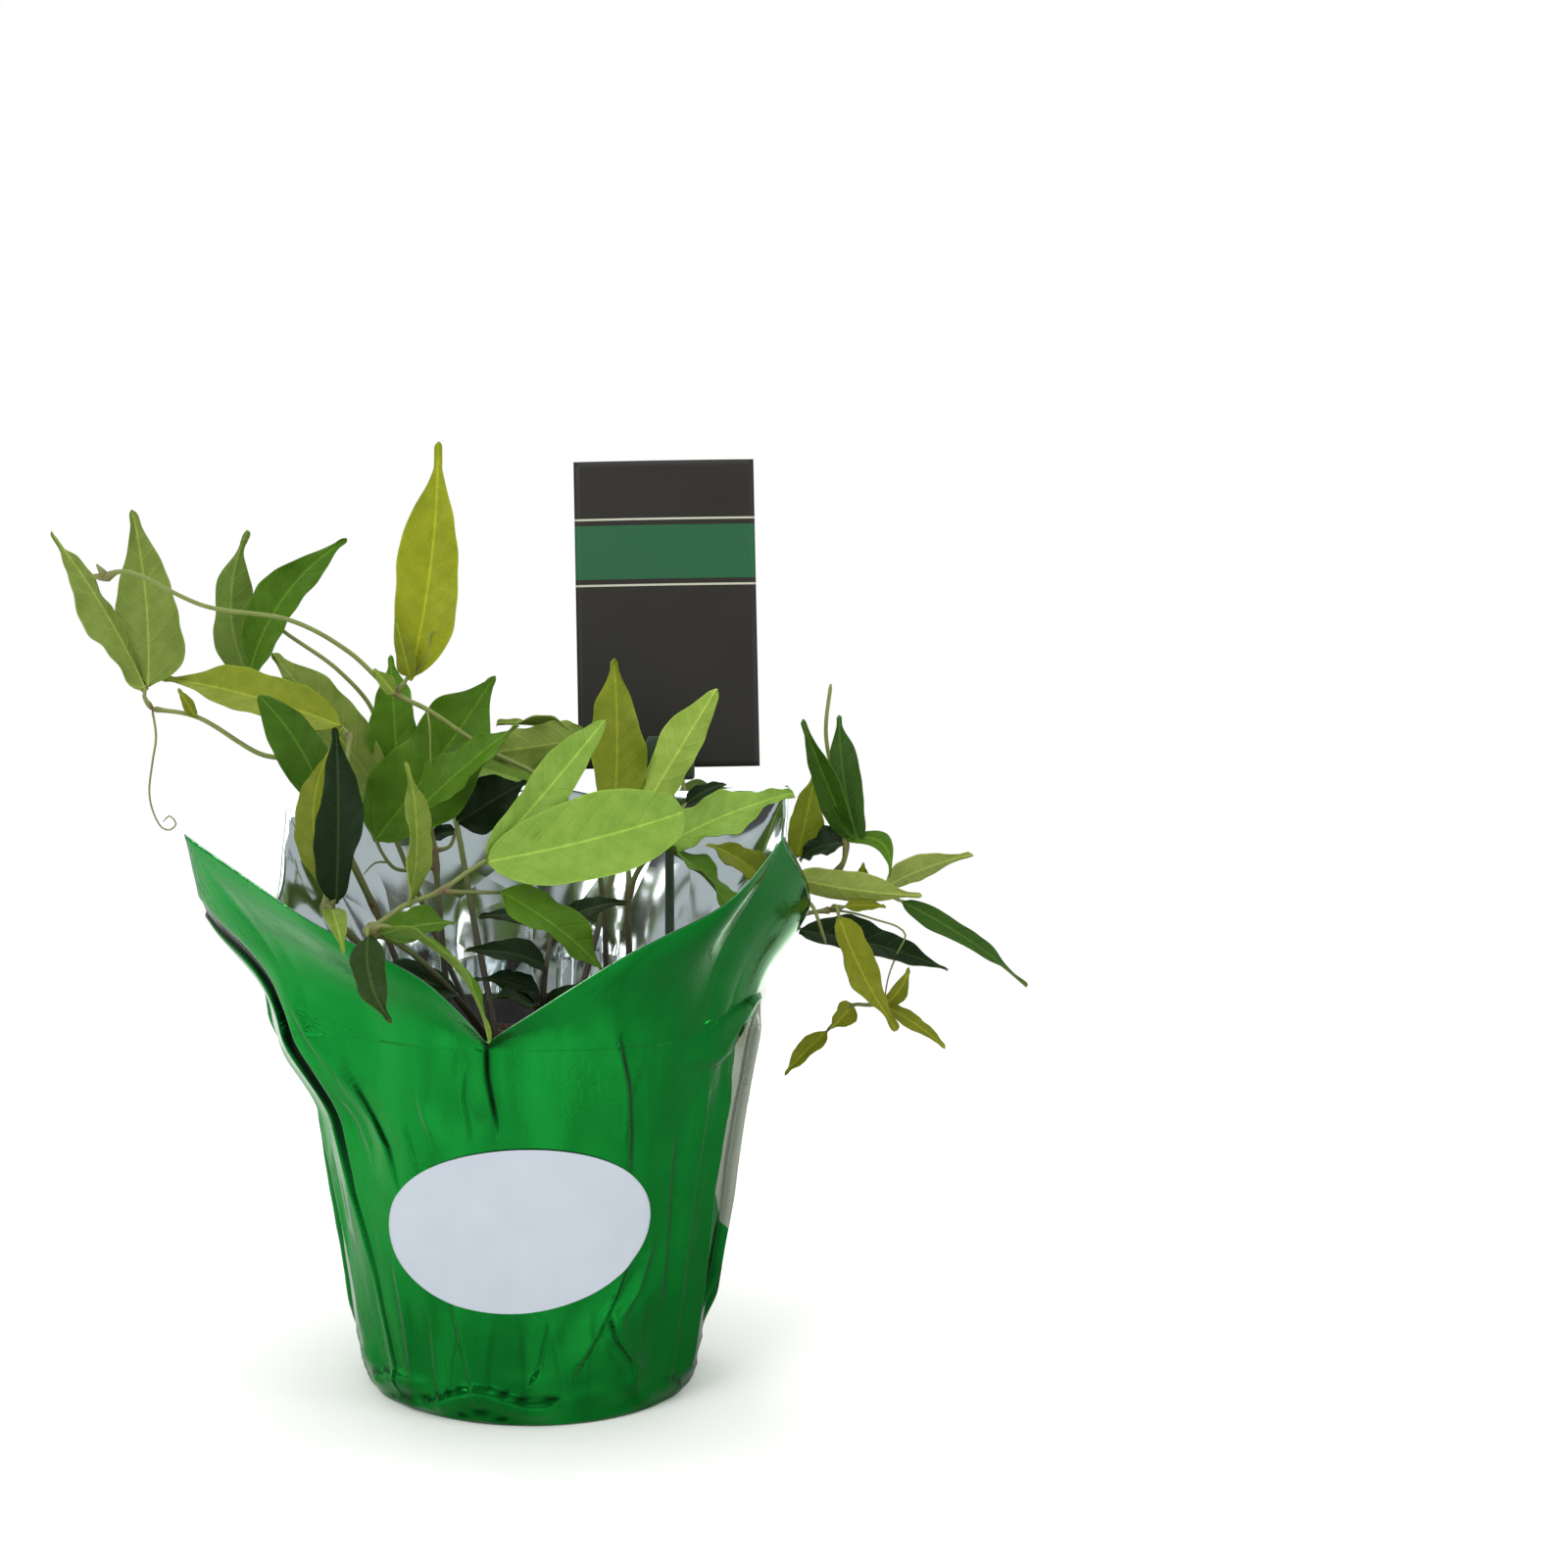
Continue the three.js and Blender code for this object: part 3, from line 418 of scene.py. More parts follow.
# %% Foil sizes
FOIL_BASE_RADIUS = 43.7
FOIL_RIM_RADIUS = 57.9
FOIL_RIM_Z = 96
FOIL_FLARE = 1.15
FOIL_THICKNESS = 0.3
WALL_MIDDLE_RADIUS = 52
FOIL_EDGE = np.array([
    (-81, -50, 146), (-51, -60, 126.5), (-23, -62, 113), (-10, -62, 98.5), (4, -63, 108), (23, -64, 120),
    (47, -61, 131), (58, -60, 146), (67, -40, 134), (70, -25, 126), (66, 2, 111), (71, 30, 132),
    (76, 58, 156), (42, 69, 154), (0, 74, 155), (-38, 70, 153), (-72, 58, 149), (-70, 30, 129),
    (-72, 2, 112), (-80, -30, 124),
], float)
# The four corners of the sheet and the bottom of the notch, as places in the list above
SHARP_POINTS = (0, 3, 7, 12, 16)
LOOSE_ANGLE, LOOSE_STAND = math.radians(190), 9
LABEL_ANGLE, LABEL_TURN = math.radians(-94), math.radians(6)
LABEL_WIDTH, LABEL_HEIGHT, LABEL_Z = 69, 41.5, 51


def turn_from(start, angle):
    """The turn from one angle to another, the short way round."""
    return np.arctan2(np.sin(angle - start), np.cos(angle - start))


def turn_between(a, b):
    return np.abs(turn_from(b, a))


def wall_radius(z):
    return FOIL_BASE_RADIUS + (FOIL_RIM_RADIUS - FOIL_BASE_RADIUS) * z / FOIL_RIM_Z


def loose_side(angle, z):
    """The wrap stands off the pot on its left side, near the rim."""
    share = 1 - smooth(0.25, 0.75, turn_between(angle, LOOSE_ANGLE))
    return LOOSE_STAND * share * smooth(72, FOIL_RIM_Z, z)


def under_label(angle, z):
    """1 where the sticker holds the foil flat, 0 well away from it."""
    across = turn_between(angle, LABEL_ANGLE) * wall_radius(LABEL_Z) / (LABEL_WIDTH / 2)
    up = (z - LABEL_Z) / (LABEL_HEIGHT / 2)
    return 1 - smooth(0.9, 1.35, np.sqrt(across**2 + up**2))


sides = np.linalg.norm(np.roll(FOIL_EDGE, -1, 0) - FOIL_EDGE, axis=1)
print("the free edge is", round(float(sides.sum())), "mm round")

# %% [markdown]
# The foil wrap: the list of folds.
# Foil keeps every fold it is given. They are made as real shape, because a bump in the finish would leave
# the sheet's outline smooth. The sharp ones are tucks: the sheet rises slowly to a line and drops back at
# once, as where one layer laps over the next. The ones that matter are listed one by one, and the rest are
# drawn by a seeded rule. Down the left side two tucks face each other across a long gap, where the front
# of the sheet folds over the side.

# %% Tuck list
# The left gap's line as (degrees round the pot, height)
LEFT_GAP = [(-156, 132), (-154, 118), (-152, 105), (-147, 88), (-146, 76), (-145, 56), (-140, 34), (-136, 5)]


def gap_width(z):
    """Degrees across the gap: wide where the sheet flares, and nearly closed low down."""
    return 2.0 + 2.8 * smooth(46, 84, z)


# A tuck: its line, its depth, the degrees it rises over, the raised side (1 where the degrees grow, -1 where
# they fall), and how dark the line behind its drop is
GAP_TUCKS = [
    (LEFT_GAP, 1.1, 12, 1, 0.0),
    ([(degrees - gap_width(z), z) for degrees, z in LEFT_GAP], 1.5, 10, -1, 0.0),
]
PLACED_TUCKS = [
    ([(-148, 103), (-144, 93), (-140, 86)], 0.6, 4, 1, 0.5),
    ([(-144, 82), (-140, 76), (-137, 68)], 0.4, 3, 1, 0.3),
    ([(-140, 88), (-136, 79), (-131, 70), (-128, 56), (-127, 48)], 0.8, 8, -1, 0.9),
    ([(-124, 74), (-122, 66), (-121, 58)], 0.5, 6, -1, 0.5),
    ([(-118, 84), (-117, 78), (-115, 73)], 0.5, 5, 1, 0.3),
    ([(-101, 101), (-101, 90), (-99, 77)], 1.7, 8, -1, 0.9),
    ([(-106, 92), (-107, 84), (-106, 76)], 0.5, 6, -1, 0.3),
    ([(-70, 98), (-67, 87), (-65, 76), (-64, 62)], 1.1, 10, -1, 0.8),
    ([(-60, 47), (-64, 36), (-70, 24), (-77, 14)], 1.9, 11, -1, 0.6),
    ([(-66, 30), (-62, 21), (-54, 13)], 1.4, 8, 1, 0.7),
    ([(-54, 44), (-57, 34), (-62, 27)], 1.1, 6, -1, 0.5),
    ([(-84, 26), (-86, 16), (-92, 8)], 0.6, 8, 1, 0.3),
    ([(-40, 80), (-41, 50), (-40, 26), (-39, 6)], 1.3, 11, -1, 0.5),
    ([(-30, 84), (-31, 56), (-29, 30), (-28, 6)], 1.5, 10, -1, 0.6),
    ([(-51, 70), (-49, 50), (-48, 30)], 0.6, 6, -1, 0.3),
    ([(-163, 92), (-160, 66), (-156, 40), (-152, 6)], 1.6, 9, 1, 0.6),
    ([(-133, 40), (-131, 22), (-130, 6)], 0.5, 6, 1, 0.6),
    ([(-113, 32), (-110, 18), (-107, 6)], 0.5, 7, 1, 0.3),
]
SIDE_TUCK_SEED, WRINKLE_SEED = 5, 17


def side_tucks():
    """Tucks of many depths round the right side and the back."""
    rng = np.random.default_rng(SIDE_TUCK_SEED)
    tucks = []
    for degrees in np.arange(-20, 184, 13.0):
        start = degrees + rng.uniform(-4, 4)
        low, high = rng.uniform(3, 30), rng.uniform(70, 128)
        lean = rng.uniform(-7, 7)
        middle = (start + lean * 0.5 + rng.uniform(-2, 2), (low + high) / 2)
        side = 1 if rng.random() < 0.5 else -1
        line = [(start, high), middle, (start + lean, low)]
        tucks.append((line, rng.uniform(1.0, 3.0), rng.uniform(8, 18), side, 0.6))
    return tucks


def wrinkles():
    """Small slanting tucks on the front, above and below the sticker."""
    rng = np.random.default_rng(WRINKLE_SEED)
    tucks = []
    for degrees in np.arange(-130, -52, 9.5):
        low, high = ((74, 96) if rng.random() < 0.55 else (6, 28)) + rng.uniform(-4, 4, 2)
        lean = rng.uniform(-6, 6)
        middle = (degrees + 0.5 * lean + rng.uniform(-1, 1), (low + high) / 2)
        depth, width = rng.uniform(0.1, 0.3), rng.uniform(5, 9)
        side = 1 if rng.random() < 0.5 else -1
        tucks.append(([(degrees, high), middle, (degrees + lean, low)], depth, width, side, 0.2))
    return tucks


OTHER_TUCKS = PLACED_TUCKS + side_tucks() + wrinkles()
ALL_TUCKS = GAP_TUCKS + OTHER_TUCKS
print("the foil has", len(ALL_TUCKS), "tucks")

# %% [markdown]
# The shape of a tuck.
# Two numbers say where a point of the sheet stands to a tuck: the degrees from the tuck's line, and how
# much of the tuck is left at that height, since both its ends fade out. The height of the fold follows
# from them: a slow rise to the line, a quick drop behind it, and a shallow groove at the foot of the drop.

# %% Tuck shape
TUCK_DROP = 1.6


def beside_line(line, side, angle, z):
    """Degrees from a tuck's line, above 0 on its raised side, and how much of the tuck is left up there."""
    line = sorted(line, key=lambda p: p[1])
    heights = [p[1] for p in line]
    centre = np.radians(np.interp(z, heights, [p[0] for p in line]))
    away = side * np.degrees(turn_from(centre, angle))
    ends = smooth(heights[0] - 5, heights[0] + 6, z) * (1 - smooth(heights[-1] - 6, heights[-1] + 5, z))
    return away, ends


def tuck_height(tuck, angle, z):
    line, depth, width, side, _ = tuck
    away, ends = beside_line(line, side, angle, z)
    rise = np.clip(1 - away / width, 0, 1) ** 1.6 * (away >= 0)
    drop = smooth(-TUCK_DROP, 0, away) * (away < 0)
    groove = 0.3 * smooth(-0.6, -1.8, away) * smooth(-7, -2.2, away)
    return depth * (rise + drop - groove) * ends


deepest = max(tuck[1] for tuck in ALL_TUCKS)
print("the deepest tuck stands", round(deepest, 2), "mm out")

# %% [markdown]
# Columns that follow the tucks.
# The sheet is a net of points in columns. A sharp line that crosses the columns would come out as a row of
# steps, so each column leans along with the tucks beside it. The long gap leads the columns next to it on
# its own: two tucks share its line there, and between them they would turn each column twice as far as the
# line goes.

# %% Leaning columns
TUCK_REACH, GAP_REACH, GAP_OWN_REACH = 11, 17, 7
MOST_LEAN = math.radians(7)


def tuck_lean(line, angle, z, reach):
    """How far to turn a column so that it runs along a line, and how near the column is to that line."""
    line = sorted(line, key=lambda p: p[1])
    centre = np.interp(z, [p[1] for p in line], [p[0] for p in line])
    middle = (line[0][0] + line[-1][0]) / 2
    away = np.degrees(turn_from(np.radians(middle), angle))
    return np.radians(centre - middle), np.exp(-((away / reach) ** 2))


def lean_with_tucks(angle, z):
    turn = np.zeros_like(angle)
    for line, *_ in OTHER_TUCKS:
        lean, near = tuck_lean(line, angle, z, TUCK_REACH)
        turn += np.clip(lean, -MOST_LEAN, MOST_LEAN) * near
    lean, near = tuck_lean(LEFT_GAP, angle, z, GAP_REACH)
    _, beside = tuck_lean(LEFT_GAP, angle, z, GAP_OWN_REACH)
    return angle + turn * (1 - smooth(82, FOIL_RIM_Z, z)) * (1 - beside) + lean * near


print("the left gap runs over", LEFT_GAP[-1][0] - LEFT_GAP[0][0], "degrees")

# %% [markdown]
# Gathers, crumples and foot folds.
# A flat sheet is too wide for a round pot, so it stands in gathers: broad pleats that run all the way
# round. The handling adds crumples: straight creases in many directions, and dents with straight ridges
# between them, made from distances to scattered points. At the foot the sheet is tucked under in slanting
# folds. The sticker holds the foil nearly flat, so all of these fade out under it.

# %% Gathers, crumples and foot folds
CREASE_SEEDS, DENT_SEED = (3, 4), 8


def gathers(angle, z):
    folds = 0.6 * np.abs(np.sin(4.5 * angle + 0.6)) + 0.4 * np.abs(np.sin(7.5 * angle + 1.4))
    beside = smooth(0.8, 1.0, turn_between(angle, LABEL_ANGLE))
    above = smooth(LABEL_Z + LABEL_HEIGHT / 2 + 2, LABEL_Z + LABEL_HEIGHT / 2 + 16, z)
    return 1.6 * folds * np.maximum(beside, 0.4 * above) * smooth(0, 12, z)


def creased(along, up, seed, size, count):
    """Sharp straight ridges in many directions, faded in and out in patches."""
    rng = np.random.default_rng(seed)
    total = np.zeros_like(along)
    for _ in range(count):
        turn = rng.uniform(0, math.pi)
        length = size * rng.uniform(0.6, 1.8)
        across = along * math.cos(turn) + up * math.sin(turn) * 0.7
        wave = np.abs((across / length + rng.random()) % 1 - 0.5) * 2
        patch = np.sin(along / (size * rng.uniform(1.5, 4)) + rng.uniform(0, 6)) + np.sin(
            up / (size * rng.uniform(1.5, 4)) + rng.uniform(0, 6))
        total += (wave - 0.5) * smooth(0.2, 1.5, patch)
    return total / math.sqrt(count)


def dented(along, up, seed, size, stretch, whole):
    """Distance to the nearest of many scattered points: dents with straight ridges between them."""
    highest = 170
    rng = np.random.default_rng(seed)
    count = int(whole * highest / (size * size * stretch))
    places = np.stack([rng.uniform(0, whole, count), rng.uniform(-5, highest, count)], 1)
    places = np.concatenate([places, places + (whole, 0), places - (whole, 0)])
    nearest = np.full(along.shape, 1e9)
    for x, y in places:
        nearest = np.minimum(nearest, (along - x) ** 2 + ((up - y) / stretch) ** 2)
    return np.sqrt(nearest) / size - 0.5


def foot_wave(angle, z):
    """Where a point lies in its slanting foot fold, from 0 to 1, and how strong the folds are there."""
    slant = z + 4.5 * np.sin(2 * angle + 0.5) + 2.8 * np.sin(5 * angle + 2) + 1.1 * np.sin(11 * angle)
    patch = 0.35 + 0.65 * smooth(-0.4, 0.6, np.sin(3 * angle + 1.4) + 0.6 * np.sin(7 * angle))
    patch = patch * (1 - 0.75 * np.exp(-((turn_between(angle, -0.12) / 0.4) ** 2)))
    return (slant / 7.5) % 1, patch * (1 - smooth(6, 14 + 3 * np.sin(4 * angle + 1), z)) * smooth(0, 3, z)


def foot_folds(angle, z):
    wave, strength = foot_wave(angle, z)
    return 2.4 * np.where(wave < 0.75, wave / 0.75, (1 - wave) / 0.25) * strength


def from_back(angle):
    """Millimetres round the wall, measured from the middle of its back."""
    return ((angle - math.pi / 2) % (2 * math.pi)) * WALL_MIDDLE_RADIUS


def wrap_push(angle, z):
    """How far the folds stand out from the smooth wall; they never go far in, where the pot is."""
    along = from_back(angle)
    whole = 2 * math.pi * WALL_MIDDLE_RADIUS
    held = 1 - 0.85 * under_label(angle, z)
    push = gathers(angle, z) + loose_side(angle, z)
    push += held * sum(tuck_height(tuck, angle, z) for tuck in ALL_TUCKS)
    calm = 0.16 + 1.1 * smooth(0.6, 1.1, turn_between(angle, math.radians(-92)))
    long_creases, short_creases = CREASE_SEEDS
    fine = 0.6 * creased(along, z, long_creases, 17, 9) + 0.2 * creased(along, z, short_creases, 6, 9)
    dents = 0.55 * dented(along % whole, z, DENT_SEED, 11, 2.6, whole)
    push = push + held * (calm * (fine + dents) + foot_folds(angle, z))
    return np.maximum(push, -0.9)


right_side = np.linspace(-1.2, 0.4, 50)
print("folds on the right side, mm out:", np.round(wrap_push(right_side, np.full(50, LABEL_Z)).max(), 1))

# %% [markdown]
# Marks that the foil's finish reads.
# Behind the drop of a tuck the sheet is doubled and no light gets in between its layers. A net of points
# can't be that narrow, so a mark says how dark each point is. A second mark says where a paler, duller
# grey-green strip runs down the right side.

# %% Gap shade and pale strip
def foot_shade(angle, z):
    wave, strength = foot_wave(angle, z)
    return 0.9 * np.maximum(smooth(0.84, 0.97, wave), smooth(0.08, 0.0, wave)) * smooth(0.25, 0.6, strength)


def gap_shade(angle, z):
    """1 in the narrow gap behind the drop of a tuck, where no light gets in, and 0 on the open sheet."""
    shade = np.zeros(np.broadcast(angle, z).shape)
    for line, _, _, side, dark in ALL_TUCKS:
        away, ends = beside_line(line, side, angle, z)
        shade = np.maximum(shade, dark * ends * np.exp(-(((away + 1.2) / 0.65) ** 2)))
    away, ends = beside_line(LEFT_GAP, 1, angle, z)
    in_gap = smooth(-0.3, -1.3, away) * smooth(-0.1, 0.9, away + gap_width(z)) * ends
    in_gap = in_gap * (0.7 + 0.3 * smooth(46, 84, z))
    shade = np.maximum(shade, in_gap)
    return np.maximum(shade * (1 - 0.9 * under_label(angle, z)), foot_shade(angle, z))


def pale_strip(angle, z):
    """Above 0 inside the pale strip down the right side; about millimetres to the strip's border."""
    degrees = np.degrees(turn_from(0, angle))
    start = np.interp(z, [34, 42, 56, 84, 97], [-4, -20, -28.5, -28, -31])
    below_wing = 95 + 0.95 * (degrees + 33) - z
    return np.minimum.reduce([degrees - start, 9 + 0.06 * z - degrees, below_wing, z - 38 - 0.35 * degrees])


NO_MARK = (0, -1, 0)
print("the left gap's shade half way up is", round(float(gap_shade(math.radians(-147), 60.0)), 2))

# %% [markdown]
# The foil wrap: the free edge.
# The free edge goes through the points given above. A cut sheet has straight sides, but a gathered one has
# eased bends, so every bend is eased except at the sheet's own corners and at the bottom of the notch.
# More points lie in front, where the camera sees the folds closest.

# %% Free edge
def free_edge(count):
    """Points on the free edge, closest together in front, with its bends eased but its corners kept sharp."""
    closed = np.concatenate([FOIL_EDGE, FOIL_EDGE[:1]])
    reach = np.concatenate([[0], np.cumsum(np.linalg.norm(np.diff(closed, axis=0), axis=1))])
    fine = np.linspace(0, reach[-1], 4000)
    ahead = np.interp(fine, reach, closed[:, 1])
    packed = np.cumsum(1 + 1.4 * smooth(30, -30, ahead))
    at = np.interp(np.linspace(packed[0], packed[-1], count, endpoint=False), packed, fine)
    straight = np.stack([np.interp(at, reach, closed[:, c]) for c in range(3)], 1)
    lags = np.linspace(-14, 14, 29)
    weight = np.exp(-0.5 * (lags / 6) ** 2)
    eased = sum(w * np.stack([np.interp((at + lag) % reach[-1], reach, closed[:, c]) for c in range(3)], 1)
                for w, lag in zip(weight / weight.sum(), lags))
    half = reach[-1] / 2
    corner = np.min([np.abs((at - reach[k] + half) % reach[-1] - half) for k in SHARP_POINTS], 0)
    share = smooth(0, 14, corner)[:, None]
    ripple = 0.35 * np.sin(at * 0.23 + 1) * smooth(-40, 10, straight[:, 1])
    edge = straight * (1 - share) + eased * share
    edge[:, 2] += ripple * share[:, 0]
    return edge


def edge_at(angle, edge):
    """Height and reach of the free edge at any angle."""
    at = np.arctan2(edge[:, 1], edge[:, 0])
    order = np.argsort(at)
    reach = np.hypot(edge[:, 0], edge[:, 1])
    return [np.interp(angle, at[order], values[order], period=2 * math.pi) for values in (edge[:, 2], reach)]


edge_heights = free_edge(400)[:, 2]
print("the free edge goes from", round(edge_heights.min()), "mm up to", round(edge_heights.max()), "mm")

# %% [markdown]
# The foil wrap: the sheet.
# Each column of the sheet runs up the wall and out to one point of the free edge, and the folds push its
# points outward. The outer skin is fine. The inner one has half as many rows and columns, which is enough
# for what can be seen of it, and the two are joined along the free edge.

# %% Foil sheet
FOIL_COLUMNS, WALL_ROWS, FLARE_ROWS = 370, 33, 17


def flared(rim, reach, share, rise):
    """The flare starts with the wall's own slope and ends at the free edge."""
    slope = (FOIL_RIM_RADIUS - FOIL_BASE_RADIUS) / FOIL_RIM_Z
    start = rim + slope * rise
    end = rim + (reach - rim) * share**FOIL_FLARE
    return start + (end - start) * smooth(0, 0.9, share)


def sheet_rows(edge):
    """Radius, height and turn round the pot of every point, row after row from the foot to the free edge."""
    columns = len(edge)
    angle = np.arctan2(edge[:, 1], edge[:, 0])
    heights = np.concatenate([[0, 0.4, 1.0], np.linspace(1.8, FOIL_RIM_Z, 2 * int(WALL_ROWS * SMOOTHNESS))])
    shares = np.linspace(0, 1, 2 * int(FLARE_ROWS * SMOOTHNESS) + 1)[1:]
    radius, height, turns = [], [], []
    for z in heights:
        leant = lean_with_tucks(angle, np.full(columns, z))
        radius.append(wall_radius(z) + wrap_push(leant, np.full(columns, z)) - 1.2 * (z < 0.3))
        height.append(np.full(columns, z))
        turns.append(leant)
    for t in shares:
        lean, near = tuck_lean(LEFT_GAP, angle, FOIL_RIM_Z + (edge[:, 2] - FOIL_RIM_Z) * t, GAP_REACH)
        leant = angle + lean * near * (1 - smooth(0.4, 1.0, t))
        top, reach = edge_at(leant, edge)
        z = FOIL_RIM_Z + (top - FOIL_RIM_Z) * t
        rim = wall_radius(FOIL_RIM_Z) + gathers(leant, FOIL_RIM_Z) + loose_side(leant, FOIL_RIM_Z)
        folds = wrap_push(leant, z) - gathers(leant, z) - loose_side(leant, z)
        radius.append(flared(rim, reach, t, z - FOIL_RIM_Z) + folds * (1 - 0.55 * t))
        height.append(z)
        turns.append(leant)
    return np.array(radius), np.array(height), np.array(turns)


def inner_skin(radius, height, direction):
    """Every second point, moved in; low down, where folds are steep, from the lowest point beside it."""
    up = np.arange(len(radius))[:, None] / (len(radius) - 1)
    inset = FOIL_THICKNESS + 0.6 * (1 - smooth(0.6, 0.97, up))
    lowest = radius
    for axis in (0, 1):
        lowest = np.minimum.reduce([np.roll(lowest, 1, axis), lowest, np.roll(lowest, -1, axis)])
    within = np.where(height < 70, lowest, radius) - inset
    lifted = height + np.where(height < 0.3, FOIL_THICKNESS, 0)
    return np.concatenate([within[..., None] * direction, lifted[..., None]], 2)[::2, ::2]


def build_foil():
    """Points, faces, finish of each face, place marks and painted marks of the whole sheet."""
    edge = free_edge(2 * int(FOIL_COLUMNS * SMOOTHNESS))
    radius, height, turns = sheet_rows(edge)
    direction = np.stack([np.cos(turns), np.sin(turns)], 2)
    outer = np.concatenate([radius[..., None] * direction, height[..., None]], 2)
    inner = inner_skin(radius, height, direction)
    rows, columns = radius.shape
    few_rows, few = inner.shape[:2]
    half = rows * columns
    top, under = net_faces(rows, columns), (net_faces(few_rows, few) + half)[:, ::-1]
    ring = np.arange(few)
    last, inner_last = (rows - 1) * columns, half + (few_rows - 1) * few
    rim_faces = np.stack([last + 2 * ring, last + 2 * ring + 1, last + (2 * ring + 2) % columns,
                          inner_last + (ring + 1) % few, inner_last + ring], 1)
    foot = [list(range(columns))[::-1], list(range(half, half + few))]
    faces = top.tolist() + under.tolist() + rim_faces.tolist() + foot
    which = [0] * len(top) + [1] * len(under) + [0] * few + [0, 1]
    to_edge = np.where(height > FOIL_RIM_Z, edge[:, 2] - height, 50)
    place = np.stack([from_back(turns), height, to_edge], 2)
    place = np.concatenate([place.reshape(-1, 3), place[::2, ::2].reshape(-1, 3)]) / MARK_UNIT
    painted = np.stack([gap_shade(turns, height), pale_strip(turns, height) / 10, np.zeros(turns.shape)], 2)
    painted = np.concatenate([painted.reshape(-1, 3), np.tile(NO_MARK, (few_rows * few, 1))])
    return np.concatenate([outer.reshape(-1, 3), inner.reshape(-1, 3)]), faces, which, place, painted


foil_points, foil_faces, foil_side, foil_place, foil_painted = build_foil()
print("foil reaches", np.round(foil_points.min(0)), np.round(foil_points.max(0)))

# %% [markdown]
# The foil wrap: the lap.
# Over the pale strip the gathered sheet folds back on itself, and its edge casts a thin dark line on
# the layer below. A bump can't do that, so this is a real strip of foil. Its free edge stands off the
# sheet; its other edge sinks just under the surface.

# %% Lap
# The free edge as (degrees round the pot, height)
LAP_EDGE = [(-19, 106.5), (-23, 102.5), (-27, 98.5), (-33, 93.5), (-38, 89), (-42, 85)]
LAP_WIDTH, LAP_LIFT, LAP_SHEET = 20, 1.2, 0.22
LAP_COLUMNS = 9
LAP_SEED = 12


def sheet_radius(angle, z, edge):
    """Radius of the sheet at any angle and height: without its sharp folds, and with them."""
    top, reach = edge_at(angle, edge)
    t = np.clip((z - FOIL_RIM_Z) / (top - FOIL_RIM_Z), 0, 1)
    rim = wall_radius(FOIL_RIM_Z) + gathers(angle, FOIL_RIM_Z) + loose_side(angle, FOIL_RIM_Z)
    broad = gathers(angle, z) + loose_side(angle, z)
    plain = np.where(z < FOIL_RIM_Z, wall_radius(z) + broad, flared(rim, reach, t, z - FOIL_RIM_Z))
    return plain, plain + (wrap_push(angle, z) - broad) * (1 - 0.55 * t)


def build_lap():
    rng = np.random.default_rng(LAP_SEED)
    line = smooth_path([(degrees, z, 0) for degrees, z in LAP_EDGE], 1.5)
    v = np.linspace(0, 1, len(line))[:, None]
    u = np.linspace(0, 1, LAP_COLUMNS)[None]
    wander = 0.5 * np.sin(v * 9 + rng.uniform(0, 6)) + 0.15 * np.sin(v * 31 + rng.uniform(0, 6))
    z = np.broadcast_to(line[:, 1:2], (len(line), LAP_COLUMNS))
    across = wander - u * LAP_WIDTH * (0.1 + 0.9 * np.sin(math.pi * v) ** 0.6)
    angle = np.radians(line[:, :1]) + across / WALL_MIDDLE_RADIUS
    ends = smooth(0, 0.12, v) * smooth(1, 0.7, v)
    stand = LAP_LIFT * (1 - u) ** 1.8 * ends * (1 + 0.3 * wander) - 0.9 * smooth(0.5, 1, u)
    plain, folded = sheet_radius(angle, z, free_edge(900))
    radius = np.maximum(plain + stand + 0.5 - 1.2 * (1 - ends), folded - 0.05)

    def grid(inset):
        return np.stack([(radius - inset) * np.cos(angle), (radius - inset) * np.sin(angle), z], 2)

    points, faces, side = thin_sheet(grid(0), grid(LAP_SHEET))
    place = np.stack([from_back(angle), z, np.full_like(z, 50)], 2).reshape(-1, 3) / MARK_UNIT
    return points, faces, side, np.concatenate([place, place])


lap_points, lap_faces, lap_side, lap_place = build_lap()
print("one lap with", len(lap_faces), "faces")
